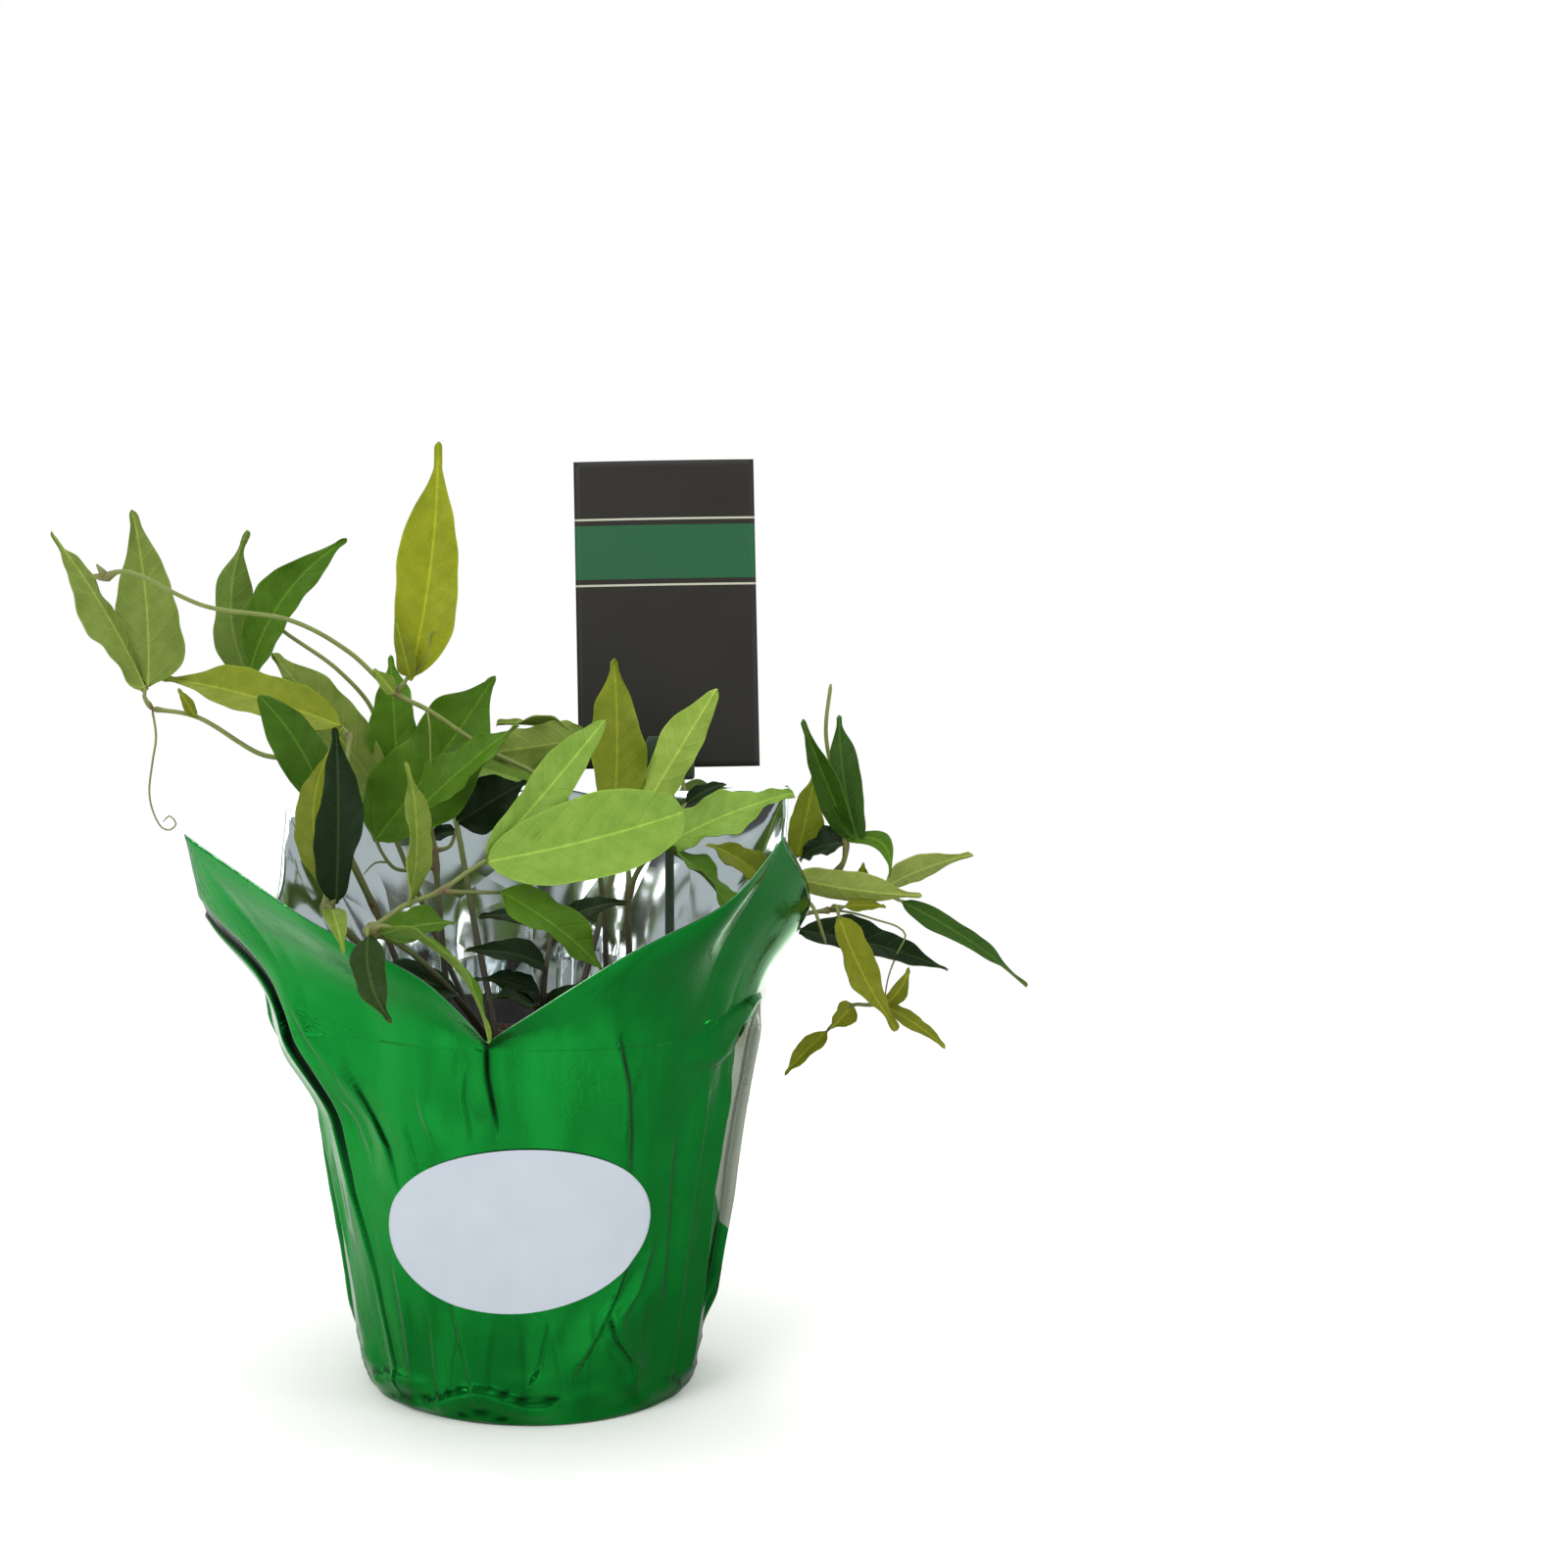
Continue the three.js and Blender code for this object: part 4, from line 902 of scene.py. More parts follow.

# %% [markdown]
# Foil finishes.
# The outside is a clear green lacquer over metal: the colour comes from the lacquer, the gloss is sharp,
# and the handling leaves fine streaks up and down and patches of tiny crinkles. The finish goes dark where
# the gap shade says so, paler, duller and grey-green on the strip down the right side, and shows a thin
# bright line of bare metal along the cut edge.

# %% Green foil
def green_foil():
    finish = Finish("green_foil", metallic=1.0)
    where = finish.attribute("flat_place").outputs["Vector"]
    tall = finish.add("Mapping", {"Vector": where, "Scale": (60, 4, 1)}).outputs[0]
    streaks = finish.noise(tall, 1.0, 4)
    blotch = finish.noise(where, 6, 3)
    colour = finish.mix(blotch, linear(8, 112, 34), linear(18, 142, 54))
    colour = finish.mix(finish.remap(streaks, 0.58, 0.8, 0, 0.15), colour, linear(34, 140, 66))
    to_edge = finish.add("SeparateXYZ", {0: where}).outputs[2]
    colour = finish.mix(finish.remap(to_edge, 0.0012, 0.004, 0.18, 0), colour, (0.72, 0.76, 0.76))
    painted = finish.add("SeparateXYZ", {0: finish.attribute("gap_shade").outputs["Vector"]})
    # Paler, duller grey-green where the pale strip mark is above 0
    in_pale_strip = finish.remap(painted.outputs[1], -0.02, 0.02)
    colour = finish.mix(in_pale_strip, colour, (0.44, 0.5, 0.4))
    colour = finish.mix(painted.outputs[0], colour, linear(0, 22, 6))
    rough = finish.remap(streaks, 0.35, 0.75, 0.12, 0.18)
    rough = finish.math("ADD", rough, finish.remap(blotch, 0.4, 0.7, 0, 0.05))
    rough = finish.math("ADD", rough, finish.math("MULTIPLY", in_pale_strip, 0.15))
    crinkle = finish.add("TexVoronoi", {"Vector": where, "Scale": 30.0}, feature="DISTANCE_TO_EDGE")
    crinkle = crinkle.outputs[0]
    handled = finish.remap(finish.noise(where, 4, 2), 0.5, 0.66, 0.2, 0.6)
    normal = finish.bump(finish.remap(crinkle, 0.0, 0.1), 0.06, handled)
    normal = finish.bump(streaks, 0.06, 0.18, under=normal)
    finish.set(finish.shader, {"Base Color": colour, "Roughness": rough, "Normal": normal,
                               "Coat Weight": 0.07, "Coat Roughness": 0.12})
    return finish.material


outside = green_foil()
print("the outside is drawn by", len(outside.node_tree.nodes), "nodes")

# %% [markdown]
# The silver inside.
# The inside is bare metal, a mirror broken by two sets of crinkles that cross each other. Faint streaks
# make it paler and a little duller in places. The sheet and the lap then become one piece, with a finish
# for each side.

# %% Silver foil
def silver_foil():
    finish = Finish("silver_foil", metallic=1.0)
    where = finish.attribute("flat_place").outputs["Vector"]
    flat = finish.add("Mapping", {"Vector": where, "Scale": (1, 1, 0)}).outputs[0]
    tall = finish.add("Mapping", {"Vector": flat, "Scale": (5, 2.4, 1)}).outputs[0]
    streaks = finish.noise(tall, 1.0, 2)
    bent = finish.add("Mapping", {"Vector": flat, "Rotation": (0, 0, 0.7), "Scale": (3.2, 6, 1)}).outputs[0]
    crinkle = finish.add("TexVoronoi", {"Vector": tall, "Scale": 0.9}, feature="F1").outputs[0]
    crossed = finish.add("TexVoronoi", {"Vector": bent, "Scale": 1.0}, feature="F1").outputs[0]
    colour = finish.mix(streaks, (0.5, 0.56, 0.57), (0.74, 0.79, 0.79))
    normal = finish.bump(crinkle, 4.0, 0.45)
    normal = finish.bump(crossed, 2.4, 0.35, under=normal)
    rough = finish.remap(streaks, 0.3, 0.8, 0.08, 0.2)
    finish.set(finish.shader, {"Base Color": colour, "Roughness": rough, "Normal": normal})
    return finish.material


sheet_points, sheet_faces = join_parts([(foil_points, foil_faces), (lap_points, lap_faces)])
sheet_painted = np.concatenate([foil_painted, np.tile(NO_MARK, (len(lap_points), 1))])
make_piece("foil_sheet", sheet_points, sheet_faces, ["foil_wrap"], [outside, silver_foil()],
           foil_side + lap_side.tolist(),
           {"flat_place": np.concatenate([foil_place, lap_place]), "gap_shade": sheet_painted})

# %% [markdown]
# The sticker.
# A thin oval of coated paper, pressed on the front of the foil. It bends with the wall and shows the
# foil's broadest folds through it. It is left bare.

# %% Sticker
STICKER_LIFT, STICKER_SHEET = 0.4, 0.18


def build_sticker():
    rows, columns = int(60 * SMOOTHNESS) + 2, int(90 * SMOOTHNESS) + 3
    up = -np.cos(np.linspace(0, math.pi, rows))
    across = np.linspace(-1, 1, columns)
    half = np.maximum(0.8, LABEL_WIDTH / 2 * np.sqrt(np.maximum(0, 1 - up**2)))
    x = half[:, None] * across[None]
    y = np.broadcast_to((LABEL_HEIGHT / 2 * up)[:, None], x.shape)
    along = x * math.cos(LABEL_TURN) - y * math.sin(LABEL_TURN)
    z = LABEL_Z + y * math.cos(LABEL_TURN) + x * math.sin(LABEL_TURN)
    angle = LABEL_ANGLE + along / wall_radius(z)
    cockle = 0.1 * np.sin(along * 0.35 + 1) * np.sin(z * 0.22)
    radius = wall_radius(z) + STICKER_LIFT + cockle + wrap_push(angle, z)

    def grid(lift):
        return np.stack([(radius + lift) * np.cos(angle), (radius + lift) * np.sin(angle), z], 2)

    points, faces, _ = thin_sheet(grid(STICKER_SHEET), grid(0))
    place = np.stack([along, z - LABEL_Z, np.zeros_like(z)], 2).reshape(-1, 3) / MARK_UNIT
    return points, faces, np.concatenate([place, place])


def sticker_paper():
    finish = Finish("sticker_paper", roughness=0.35)
    where = finish.attribute("flat_place").outputs["Vector"]
    mottle = finish.noise(where, 9, 4)
    fibre = finish.noise(where, 260, 2)
    colour = finish.mix(mottle, linear(170, 178, 189), linear(182, 189, 200))
    colour = finish.mix(finish.remap(fibre, 0.66, 0.74, 0, 0.25), colour, linear(160, 166, 170))
    finish.set(finish.shader, {"Base Color": colour, "Normal": finish.bump(fibre, 0.05, 0.4),
                               "Roughness": finish.remap(mottle, 0.3, 0.7, 0.3, 0.42)})
    return finish.material


sticker_points, sticker_faces, sticker_marks = build_sticker()
make_piece("oval_sticker", sticker_points, sticker_faces, ["label_sticker"], [sticker_paper()],
           None, {"flat_place": sticker_marks})

# %% [markdown]
# The nursery pot.
# A thin black moulded pot with a band round its rim and holes in its floor. Its section is turned round
# the axis, as on a lathe, and then the drain holes are drilled with a plain cutter. It is nearly hidden,
# but its rim shows from above.

# %% Pot section
POT_FLOOR_Z = 1.25
POT_BASE_RADIUS, POT_BODY_RADIUS, POT_RIM_RADIUS = 42.0, 54.2, 55.7
POT_HEIGHT, POT_BAND_Z, POT_WALL = 95, 87, 1.2
HOLES, HOLE_RADIUS, HOLE_CIRCLE = 5, 5, 30


def turned(section, segments):
    """A closed section (radius, height) turned round the axis."""
    turns = np.linspace(0, 2 * math.pi, segments, endpoint=False)
    grid = np.array([[(r * math.cos(a), r * math.sin(a), z) for a in turns] for r, z in section])
    faces = net_faces(len(section) + 1, segments) % (len(section) * segments)
    return grid.reshape(-1, 3), faces


def black_plastic():
    finish = Finish("black_plastic", roughness=0.5)
    where = finish.add("TexCoord").outputs["Object"]
    dust = finish.noise(where, 60, 5)
    scuff = finish.noise(finish.add("Mapping", {"Vector": where, "Scale": (40, 40, 900)}).outputs[0], 1, 3)
    colour = finish.mix(finish.remap(dust, 0.5, 0.75, 0, 0.5), linear(24, 24, 26), linear(74, 64, 54))
    finish.set(finish.shader, {"Base Color": colour, "Roughness": finish.remap(scuff, 0.3, 0.7, 0.38, 0.6),
                               "Normal": finish.bump(scuff, 0.12, 0.3)})
    return finish.material


def pot_section():
    outer, inner = [(0.6, POT_FLOOR_Z)], [(0.6, POT_FLOOR_Z + POT_WALL)]
    outer += [(POT_BASE_RADIUS - 1, POT_FLOOR_Z), (POT_BASE_RADIUS, POT_FLOOR_Z + 1)]
    outer += [(POT_BODY_RADIUS, POT_BAND_Z), (POT_RIM_RADIUS - 0.3, POT_BAND_Z + 0.6),
              (POT_RIM_RADIUS, POT_BAND_Z + 1.2), (POT_RIM_RADIUS, POT_HEIGHT - 0.6),
              (POT_RIM_RADIUS - 0.4, POT_HEIGHT), (POT_RIM_RADIUS - 1, POT_HEIGHT)]
    inner += [(POT_BASE_RADIUS - 2, POT_FLOOR_Z + POT_WALL), (POT_BASE_RADIUS - 0.9, POT_FLOOR_Z + 2.2),
              (POT_BODY_RADIUS - POT_WALL, POT_BAND_Z), (POT_RIM_RADIUS - POT_WALL, POT_BAND_Z + 2),
              (POT_RIM_RADIUS - POT_WALL, POT_HEIGHT - 0.3)]
    return outer + inner[::-1]


print("the pot's section has", len(pot_section()), "points")

# %% [markdown]
# The drain holes.
# The pot is turned whole first. The holes are then cut through its floor by one cutter, made of five round
# pins, and the cutter is cleared away.

# %% Pot
def drill(piece, centres, radius, low, high):
    """Cut plain upright round holes through a piece, and clear the cutter away."""
    net = bmesh.new()
    for x, y in centres:
        place = Matrix.Translation((x * MM, y * MM, (low + high) / 2 * MM))
        bmesh.ops.create_cone(net, cap_ends=True, segments=28, radius1=radius * MM, radius2=radius * MM,
                              depth=(high - low) * MM, matrix=place)
    cutter_mesh = bpy.data.meshes.new("cutter")
    net.to_mesh(cutter_mesh)
    net.free()
    cutter = bpy.data.objects.new("cutter", cutter_mesh)
    bpy.context.scene.collection.objects.link(cutter)
    cut = piece.modifiers.new("holes", "BOOLEAN")
    cut.object = cutter
    cut.solver = "EXACT"
    drilled = bpy.data.meshes.new_from_object(piece.evaluated_get(bpy.context.evaluated_depsgraph_get()))
    piece.modifiers.clear()
    piece.data = drilled
    bpy.data.objects.remove(cutter)
    print(piece.name, "drilled, now", len(drilled.vertices), "points")


pot_points, pot_faces = turned(pot_section(), 128)
pot = make_piece("nursery_pot_shell", pot_points, pot_faces, ["nursery_pot"], [black_plastic()])
hole_turns = np.radians(np.arange(HOLES) * 360 / HOLES)
hole_places = HOLE_CIRCLE * np.stack([np.cos(hole_turns), np.sin(hole_turns)], 1)
drill(pot, hole_places, HOLE_RADIUS, 0, POT_FLOOR_Z + 4)

# %% [markdown]
# The potting mix.
# Dark peat with bark and a few white grains. The surface is a round net of points lifted by layered noise,
# and loose crumbs of many sizes lie on it, drawn by a seeded rule, because a smooth lump never looks like
# soil.

# %% Soil body
SOIL_Z, SOIL_FOOT_Z, SOIL_MIDDLE_Z = 86, 2.8, 40.0
SOIL_INSET = 2.2
SOIL_RADIUS = POT_BODY_RADIUS - POT_WALL - 0.9


def soil_height(x, y):
    broad = noise.noise((x / 14, y / 14, 2.0)) * 1.3
    fine = noise.fractal((x / 3.2, y / 3.2, 5.0), 0.7, 2.2, 5) * 0.75
    return SOIL_Z + broad + fine - 0.4


def soil_body():
    segments, rings = 160, 64
    turns = np.linspace(0, 2 * math.pi, segments, endpoint=False)
    section = []
    for z in (SOIL_FOOT_Z, SOIL_MIDDLE_Z):
        r = POT_BASE_RADIUS + (POT_BODY_RADIUS - POT_BASE_RADIUS) * z / POT_BAND_Z - SOIL_INSET
        section.append([(r * math.cos(a), r * math.sin(a), z) for a in turns])
    for r in np.linspace(SOIL_RADIUS, 0.4, rings):
        ring = [(r * math.cos(a), r * math.sin(a)) for a in turns]
        section.append([(x, y, soil_height(x, y)) for x, y in ring])
    return np.array(section).reshape(-1, 3), tube_faces(len(section), segments)


soil_points, soil_faces = soil_body()
print("the soil's top lies at", round(float(soil_points[:, 2].max()), 1), "mm")

# %% [markdown]
# The crumbs.
# Each crumb is a small rough ball with its own size, stretch and turn. Small ones are far more common than
# large ones, and a few are white grains. They lie half sunk in the soil.

# %% Crumbs
CRUMBS, CRUMB_SEED = 900, 21


def crumb_shape():
    """A small rough ball of twenty faces, from the twelve corners of an icosahedron."""
    g = (1 + 5**0.5) / 2
    corners = [(-1, g, 0), (1, g, 0), (-1, -g, 0), (1, -g, 0), (0, -1, g), (0, 1, g),
               (0, -1, -g), (0, 1, -g), (g, 0, -1), (g, 0, 1), (-g, 0, -1), (-g, 0, 1)]
    faces = [(0, 11, 5), (0, 5, 1), (0, 1, 7), (0, 7, 10), (0, 10, 11), (1, 5, 9), (5, 11, 4), (11, 10, 2),
             (10, 7, 6), (7, 1, 8), (3, 9, 4), (3, 4, 2), (3, 2, 6), (3, 6, 8), (3, 8, 9), (4, 9, 5),
             (2, 4, 11), (6, 2, 10), (8, 6, 7), (9, 8, 1)]
    return np.array(corners) / math.hypot(1, g), np.array(faces)


def scattered_crumbs():
    rng = np.random.default_rng(CRUMB_SEED)
    ball, faces = crumb_shape()
    points, all_faces, grain = [], [], []
    for number in range(CRUMBS):
        r, a = (SOIL_RADIUS - 2) * math.sqrt(rng.random()), rng.uniform(0, 2 * math.pi)
        x, y = r * math.cos(a), r * math.sin(a)
        size = 0.35 + 1.5 * rng.random() ** 3
        stretch = np.array([rng.uniform(0.7, 2.2), rng.uniform(0.6, 1.1), rng.uniform(0.4, 0.9)]) * size
        turn, tilt = rng.uniform(0, math.pi), rng.uniform(-0.5, 0.5)
        rough = ball * rng.uniform(0.7, 1.25, (12, 1)) * stretch
        c, s = math.cos(turn), math.sin(turn)
        spin = np.array([[c, -s, 0], [s, c, 0], [0, 0, 1]])
        c, s = math.cos(tilt), math.sin(tilt)
        lean = np.array([[1, 0, 0], [0, c, -s], [0, s, c]])
        points.append(rough @ lean.T @ spin.T + (x, y, soil_height(x, y) + 0.2 * size))
        all_faces.append(faces + 12 * number)
        grain.append(np.full(12, rng.random()))
    return np.concatenate(points), np.concatenate(all_faces), np.concatenate(grain)


def potting_mix():
    finish = Finish("potting_mix", roughness=0.95)
    where = finish.add("TexCoord").outputs["Object"]
    grain = finish.add("SeparateXYZ", {0: finish.attribute("grain").outputs["Vector"]}).outputs[0]
    broad = finish.noise(where, 260, 6, 0.7)
    colour = finish.mix(broad, linear(26, 19, 14), linear(84, 62, 44))
    colour = finish.mix(finish.remap(grain, 0.3, 0.95, 0, 0.8), colour, linear(98, 70, 46))
    colour = finish.mix(finish.math("GREATER_THAN", grain, 0.955), colour, linear(206, 202, 192))
    finish.set(finish.shader, {"Base Color": colour, "Normal": finish.bump(broad, 0.6, 0.8)})
    return finish.material


crumb_points, crumb_faces, crumb_grain = scattered_crumbs()
grains = np.concatenate([np.zeros(len(soil_points)), crumb_grain])
mix_points, mix_faces = join_parts([(soil_points, soil_faces), (crumb_points, crumb_faces)])
make_piece("soil_and_crumbs", mix_points, mix_faces, ["potting_soil"], [potting_mix()],
           None, {"grain": np.stack([grains, grains, grains], 1)})

# %% [markdown]
# The card and its pick.
# A coated dark card stands in a slim moulded pick behind the plant. Both are made upright and then lean
# back together. The card keeps a slight bow. It carries only a plain band between two thin rules, drawn by
# the finish from a place mark in real millimetres.

# %% Card
CARD_BOTTOM = np.array([38.5, 28, 161])
CARD_WIDTH, CARD_HEIGHT, CARD_SHEET = 50, 85.5, 0.5
CARD_LEAN = math.radians(8)
CARD_TILT = math.radians(1)
CARD_BOW, CARD_GAP = 0.35, 0.35
# The band's middle, half its height, the way from its middle to a rule, and half a rule's thickness
BAND_Z, BAND_HALF, RULE_AWAY, RULE_HALF = 60, 7.5, 9.2, 0.28


def lean_back(points):
    points = np.asarray(points, float)
    y = points[..., 1] * math.cos(CARD_LEAN) + points[..., 2] * math.sin(CARD_LEAN)
    z = points[..., 2] * math.cos(CARD_LEAN) - points[..., 1] * math.sin(CARD_LEAN)
    return np.stack([points[..., 0], y, z], -1) + CARD_BOTTOM


def build_card():
    x, z = np.meshgrid(np.linspace(-CARD_WIDTH / 2, CARD_WIDTH / 2, 29), np.linspace(0, CARD_HEIGHT, 47))
    bow = CARD_BOW * (1 - (2 * x / CARD_WIDTH) ** 2) * smooth(0, 30, z)
    turned_x = x * math.cos(CARD_TILT) - z * math.sin(CARD_TILT)
    turned_z = z * math.cos(CARD_TILT) + x * math.sin(CARD_TILT) + CARD_GAP

    def grid(offset):
        return lean_back(np.stack([turned_x, offset - bow, turned_z], 2))

    points, faces, _ = thin_sheet(grid(-CARD_SHEET / 2), grid(CARD_SHEET / 2))
    place = np.stack([x, z, np.zeros_like(x)], 2).reshape(-1, 3)
    back = place + (0, 0, MARK_UNIT)
    return points, faces, np.concatenate([place, back]) / MARK_UNIT


def dark_card():
    finish = Finish("dark_card", roughness=0.42)
    where = finish.attribute("card_place").outputs["Vector"]
    _, z, back = finish.add("SeparateXYZ", {0: where}).outputs
    fibre = finish.noise(where, 240, 3)
    cloud = finish.noise(where, 5, 2)
    colour = finish.mix(cloud, linear(26, 23, 17), linear(34, 31, 24))
    from_band = finish.math("ABSOLUTE", finish.math("SUBTRACT", z, BAND_Z / MARK_UNIT))
    band = finish.math("LESS_THAN", from_band, BAND_HALF / MARK_UNIT)
    from_rule = finish.math("ABSOLUTE", finish.math("SUBTRACT", from_band, RULE_AWAY / MARK_UNIT))
    rule = finish.math("LESS_THAN", from_rule, RULE_HALF / MARK_UNIT)
    front = finish.math("LESS_THAN", back, 0.5)
    colour = finish.mix(finish.math("MULTIPLY", band, front), colour, linear(22, 84, 50))
    marks = finish.math("MULTIPLY", rule, front)
    colour = finish.mix(marks, colour, linear(176, 178, 160))
    finish.set(finish.shader, {"Base Color": colour, "Normal": finish.bump(fibre, 0.04, 0.35),
                               "Roughness": finish.remap(cloud, 0.3, 0.7, 0.5, 0.6),
                               "Specular IOR Level": 0.35})
    return finish.material


card_points, card_faces, card_marks = build_card()
make_piece("dark_card", card_points, card_faces, ["card"], [dark_card()], None,
           {"card_place": card_marks})

# %% [markdown]
# The pick.
# It is a moulded shaft that narrows to a point in the soil, with a rib down its back and a clip of two
# cheeks that hold the card's lower edge. Each part is a tall section whose width and depth change with
# height.

# %% Pick
PICK_LENGTH = 97


def tall_part(levels, shift=(0, 0), sides=32, square=4.0):
    """A closed tall form from (height, half width, half depth) levels, with rounded rectangular sections."""
    turns = np.linspace(0, 2 * math.pi, sides, endpoint=False)
    c, s = np.cos(turns), np.sin(turns)
    scale = (np.abs(c) ** square + np.abs(s) ** square) ** (-1 / square)
    rings = [np.stack([c * scale * w + shift[0], s * scale * d + shift[1], np.full(len(c), z)], 1)
             for z, w, d in levels]
    return np.concatenate(rings), tube_faces(len(levels), sides)


def build_pick():
    low = -PICK_LENGTH - 2
    shaft = [(low, 0.25, 0.25), (low + 7, 0.9, 0.8), (low + 22, 1.25, 1.1), (-20, 1.25, 1.1), (-5, 1.5, 1.2),
             (-2.4, 3.4, 1.5), (-2, 3.2, 1.4)]
    cheek = [(-2.6, 6.4, 0.35), (-2.2, 6.9, 0.5), (7, 6.9, 0.5), (8.6, 6.2, 0.45), (8.9, 5.6, 0.3)]
    foot = [(-2.9, 6.4, 1.2), (-2.6, 6.9, 1.5), (-0.2, 6.9, 1.5), (-0.05, 6.7, 1.4)]
    rib = [(low + 24, 0.35, 0.3), (low + 26, 0.5, 0.5), (-8, 0.5, 0.5), (-5, 0.35, 0.3)]
    parts = [tall_part(shaft), tall_part(foot), tall_part(cheek, (0, -1.1)), tall_part(cheek, (0, 1.1)),
             tall_part(rib, (0, 1.2), 12)]
    points, faces = join_parts(parts)
    return lean_back(points), faces


def moulded_green():
    finish = Finish("moulded_green", roughness=0.45)
    where = finish.add("TexCoord").outputs["Object"]
    flow = finish.noise(finish.add("Mapping", {"Vector": where, "Scale": (300, 300, 40)}).outputs[0], 1, 3)
    colour = finish.mix(flow, linear(24, 44, 26), linear(40, 64, 38))
    finish.set(finish.shader, {"Base Color": colour, "Normal": finish.bump(flow, 0.05, 0.4),
                               "Roughness": finish.remap(flow, 0.3, 0.7, 0.36, 0.52)})
    return finish.material


pick_points, pick_faces = build_pick()
make_piece("card_holder", pick_points, pick_faces, ["card_pick"], [moulded_green()])

# %% [markdown]
# Leaves: the blade.
# Most leaves of this vine are narrow blades with a drawn-out tip; a few are broad. Each is folded a little
# along its midrib, bowed along its length, waved at its edges, and quilted between its side veins. A blade
# is a grid of points: along it from foot to tip, and across it from edge to edge. Both faces get the same
# grid, a third of a millimetre apart, with the midrib sunk on the upper face and raised on the lower.

# %% Leaf colours and facings
FRONT, BACK, UP = (0, -1, 0.15), (0, 1, 0.1), (0, 0, 1)
FRONT_UP, BACK_UP = (0, -0.7, 0.7), (0, 0.7, 0.7)
LEFT_FRONT, LEFT_BACK = (-0.6, -0.8, 0.1), (-0.75, 0.6, 0.2)
RIGHT_FRONT, RIGHT_UP = (0.7, -0.7, 0.1), (0.6, -0.4, 0.7)
# A form: how full the blade is at its foot and at its tip; less is fuller
LANCE, BROAD, SLIM, OVAL, ROUND = (0.45, 0.9), (0.5, 0.55), (0.6, 1.15), (0.5, 0.75), (0.52, 0.44)
LIME = linear(150, 158, 28)
YOUNG = linear(124, 130, 22)
LIGHT = linear(147, 182, 76)
BRIGHT = linear(180, 210, 84)
GREEN = linear(84, 126, 20)
OLIVE = linear(130, 142, 32)
DEEP = linear(54, 92, 16)
LEFT_GREEN = linear(66, 106, 14)
# Leaves under others and low in the pot's mouth: a deep green, darkened further as painted shade
DARK_IN_SHADE = linear(20, 46, 9)
SHADED = linear(40, 66, 16)
PALE = linear(124, 146, 54)
STRAW = linear(150, 158, 74)
UNDERSIDE = linear(152, 172, 86)
BLADE_SHEET = 0.34
BLADE_FOLD, BLADE_WAVE = 0.28, 0.075
# Side veins: millimetres between two of them along the midrib, how they slant, and how they bend to the tip
VEIN_STEP, VEIN_SLANT, VEIN_BEND = 5.2, 0.95, 0.035


def leaf(base, tip, width, face, sag=2, bend=0, twist=0, form=LANCE, tint=GREEN, wave=1.0):
    return dict(base=base, tip=tip, width=width, face=face, sag=sag, bend=bend, twist=twist, form=form,
                tint=tint, wave=wave)


def blade_width(t, form):
    foot, point = form
    top = foot / (foot + point)
    shape = np.maximum(t, 0) ** foot * np.maximum(1 - t, 0) ** point
    return shape / (top**foot * (1 - top) ** point)


print("a lance leaf is widest at", round(LANCE[0] / sum(LANCE), 2), "of its length")

# %% [markdown]
# Leaves: the outline.
# A blade's width follows its form, with a drawn-out but blunt tip. Slow waves make one edge fuller than
# the other here and there, and quick ones keep each edge from being too even.

# %% Blade outline
def half_width(t, s, length, item, uneven):
    """Half the blade's width at each point: its form, a drawn-out but blunt tip, and uneven edges."""
    drawn = 1 - np.interp(item["form"][1], [0.44, 0.55, 0.75], [0.05, 0.25, 0.5]) * smooth(0.68, 0.95, t)
    half = np.maximum(0.35, item["width"] / 2 * blade_width(t, item["form"]) * drawn)
    blunt = 0.35 + 0.045 * item["width"]
    end = np.clip((t * length - length + 1.6 * blunt) / (1.6 * blunt), 0, 0.995)
    half = np.maximum(half, blunt * smooth(0.45, 0.85, t)) * np.sqrt(1 - end**2)
    long_wave = 0.13 * s * np.sin(2 * math.pi * 1.1 * t + uneven[0])
    short_wave = 0.05 * np.sin(2 * math.pi * 2.3 * t + uneven[1])
    short_wave = short_wave + 0.015 * np.sin(2 * math.pi * 6 * t + 2 * s + uneven[2])
    return half * (1 + item["wave"] * (long_wave + s**2 * short_wave))


middle_of_blade = half_width(0.4, 0.0, 40, leaf([0, 0, 0], [0, 0, 40], 10, FRONT), np.zeros(3))
print("a leaf 10 mm wide is", round(2 * float(middle_of_blade), 1), "mm wide near its middle")

# %% [markdown]
# Leaves: one blade.
# A net of points is laid out from the leaf's foot to its tip, and bent by its sag, its twist and its fold.
# Random numbers, drawn in a fixed order, give each leaf its own waves and its own shade of green.

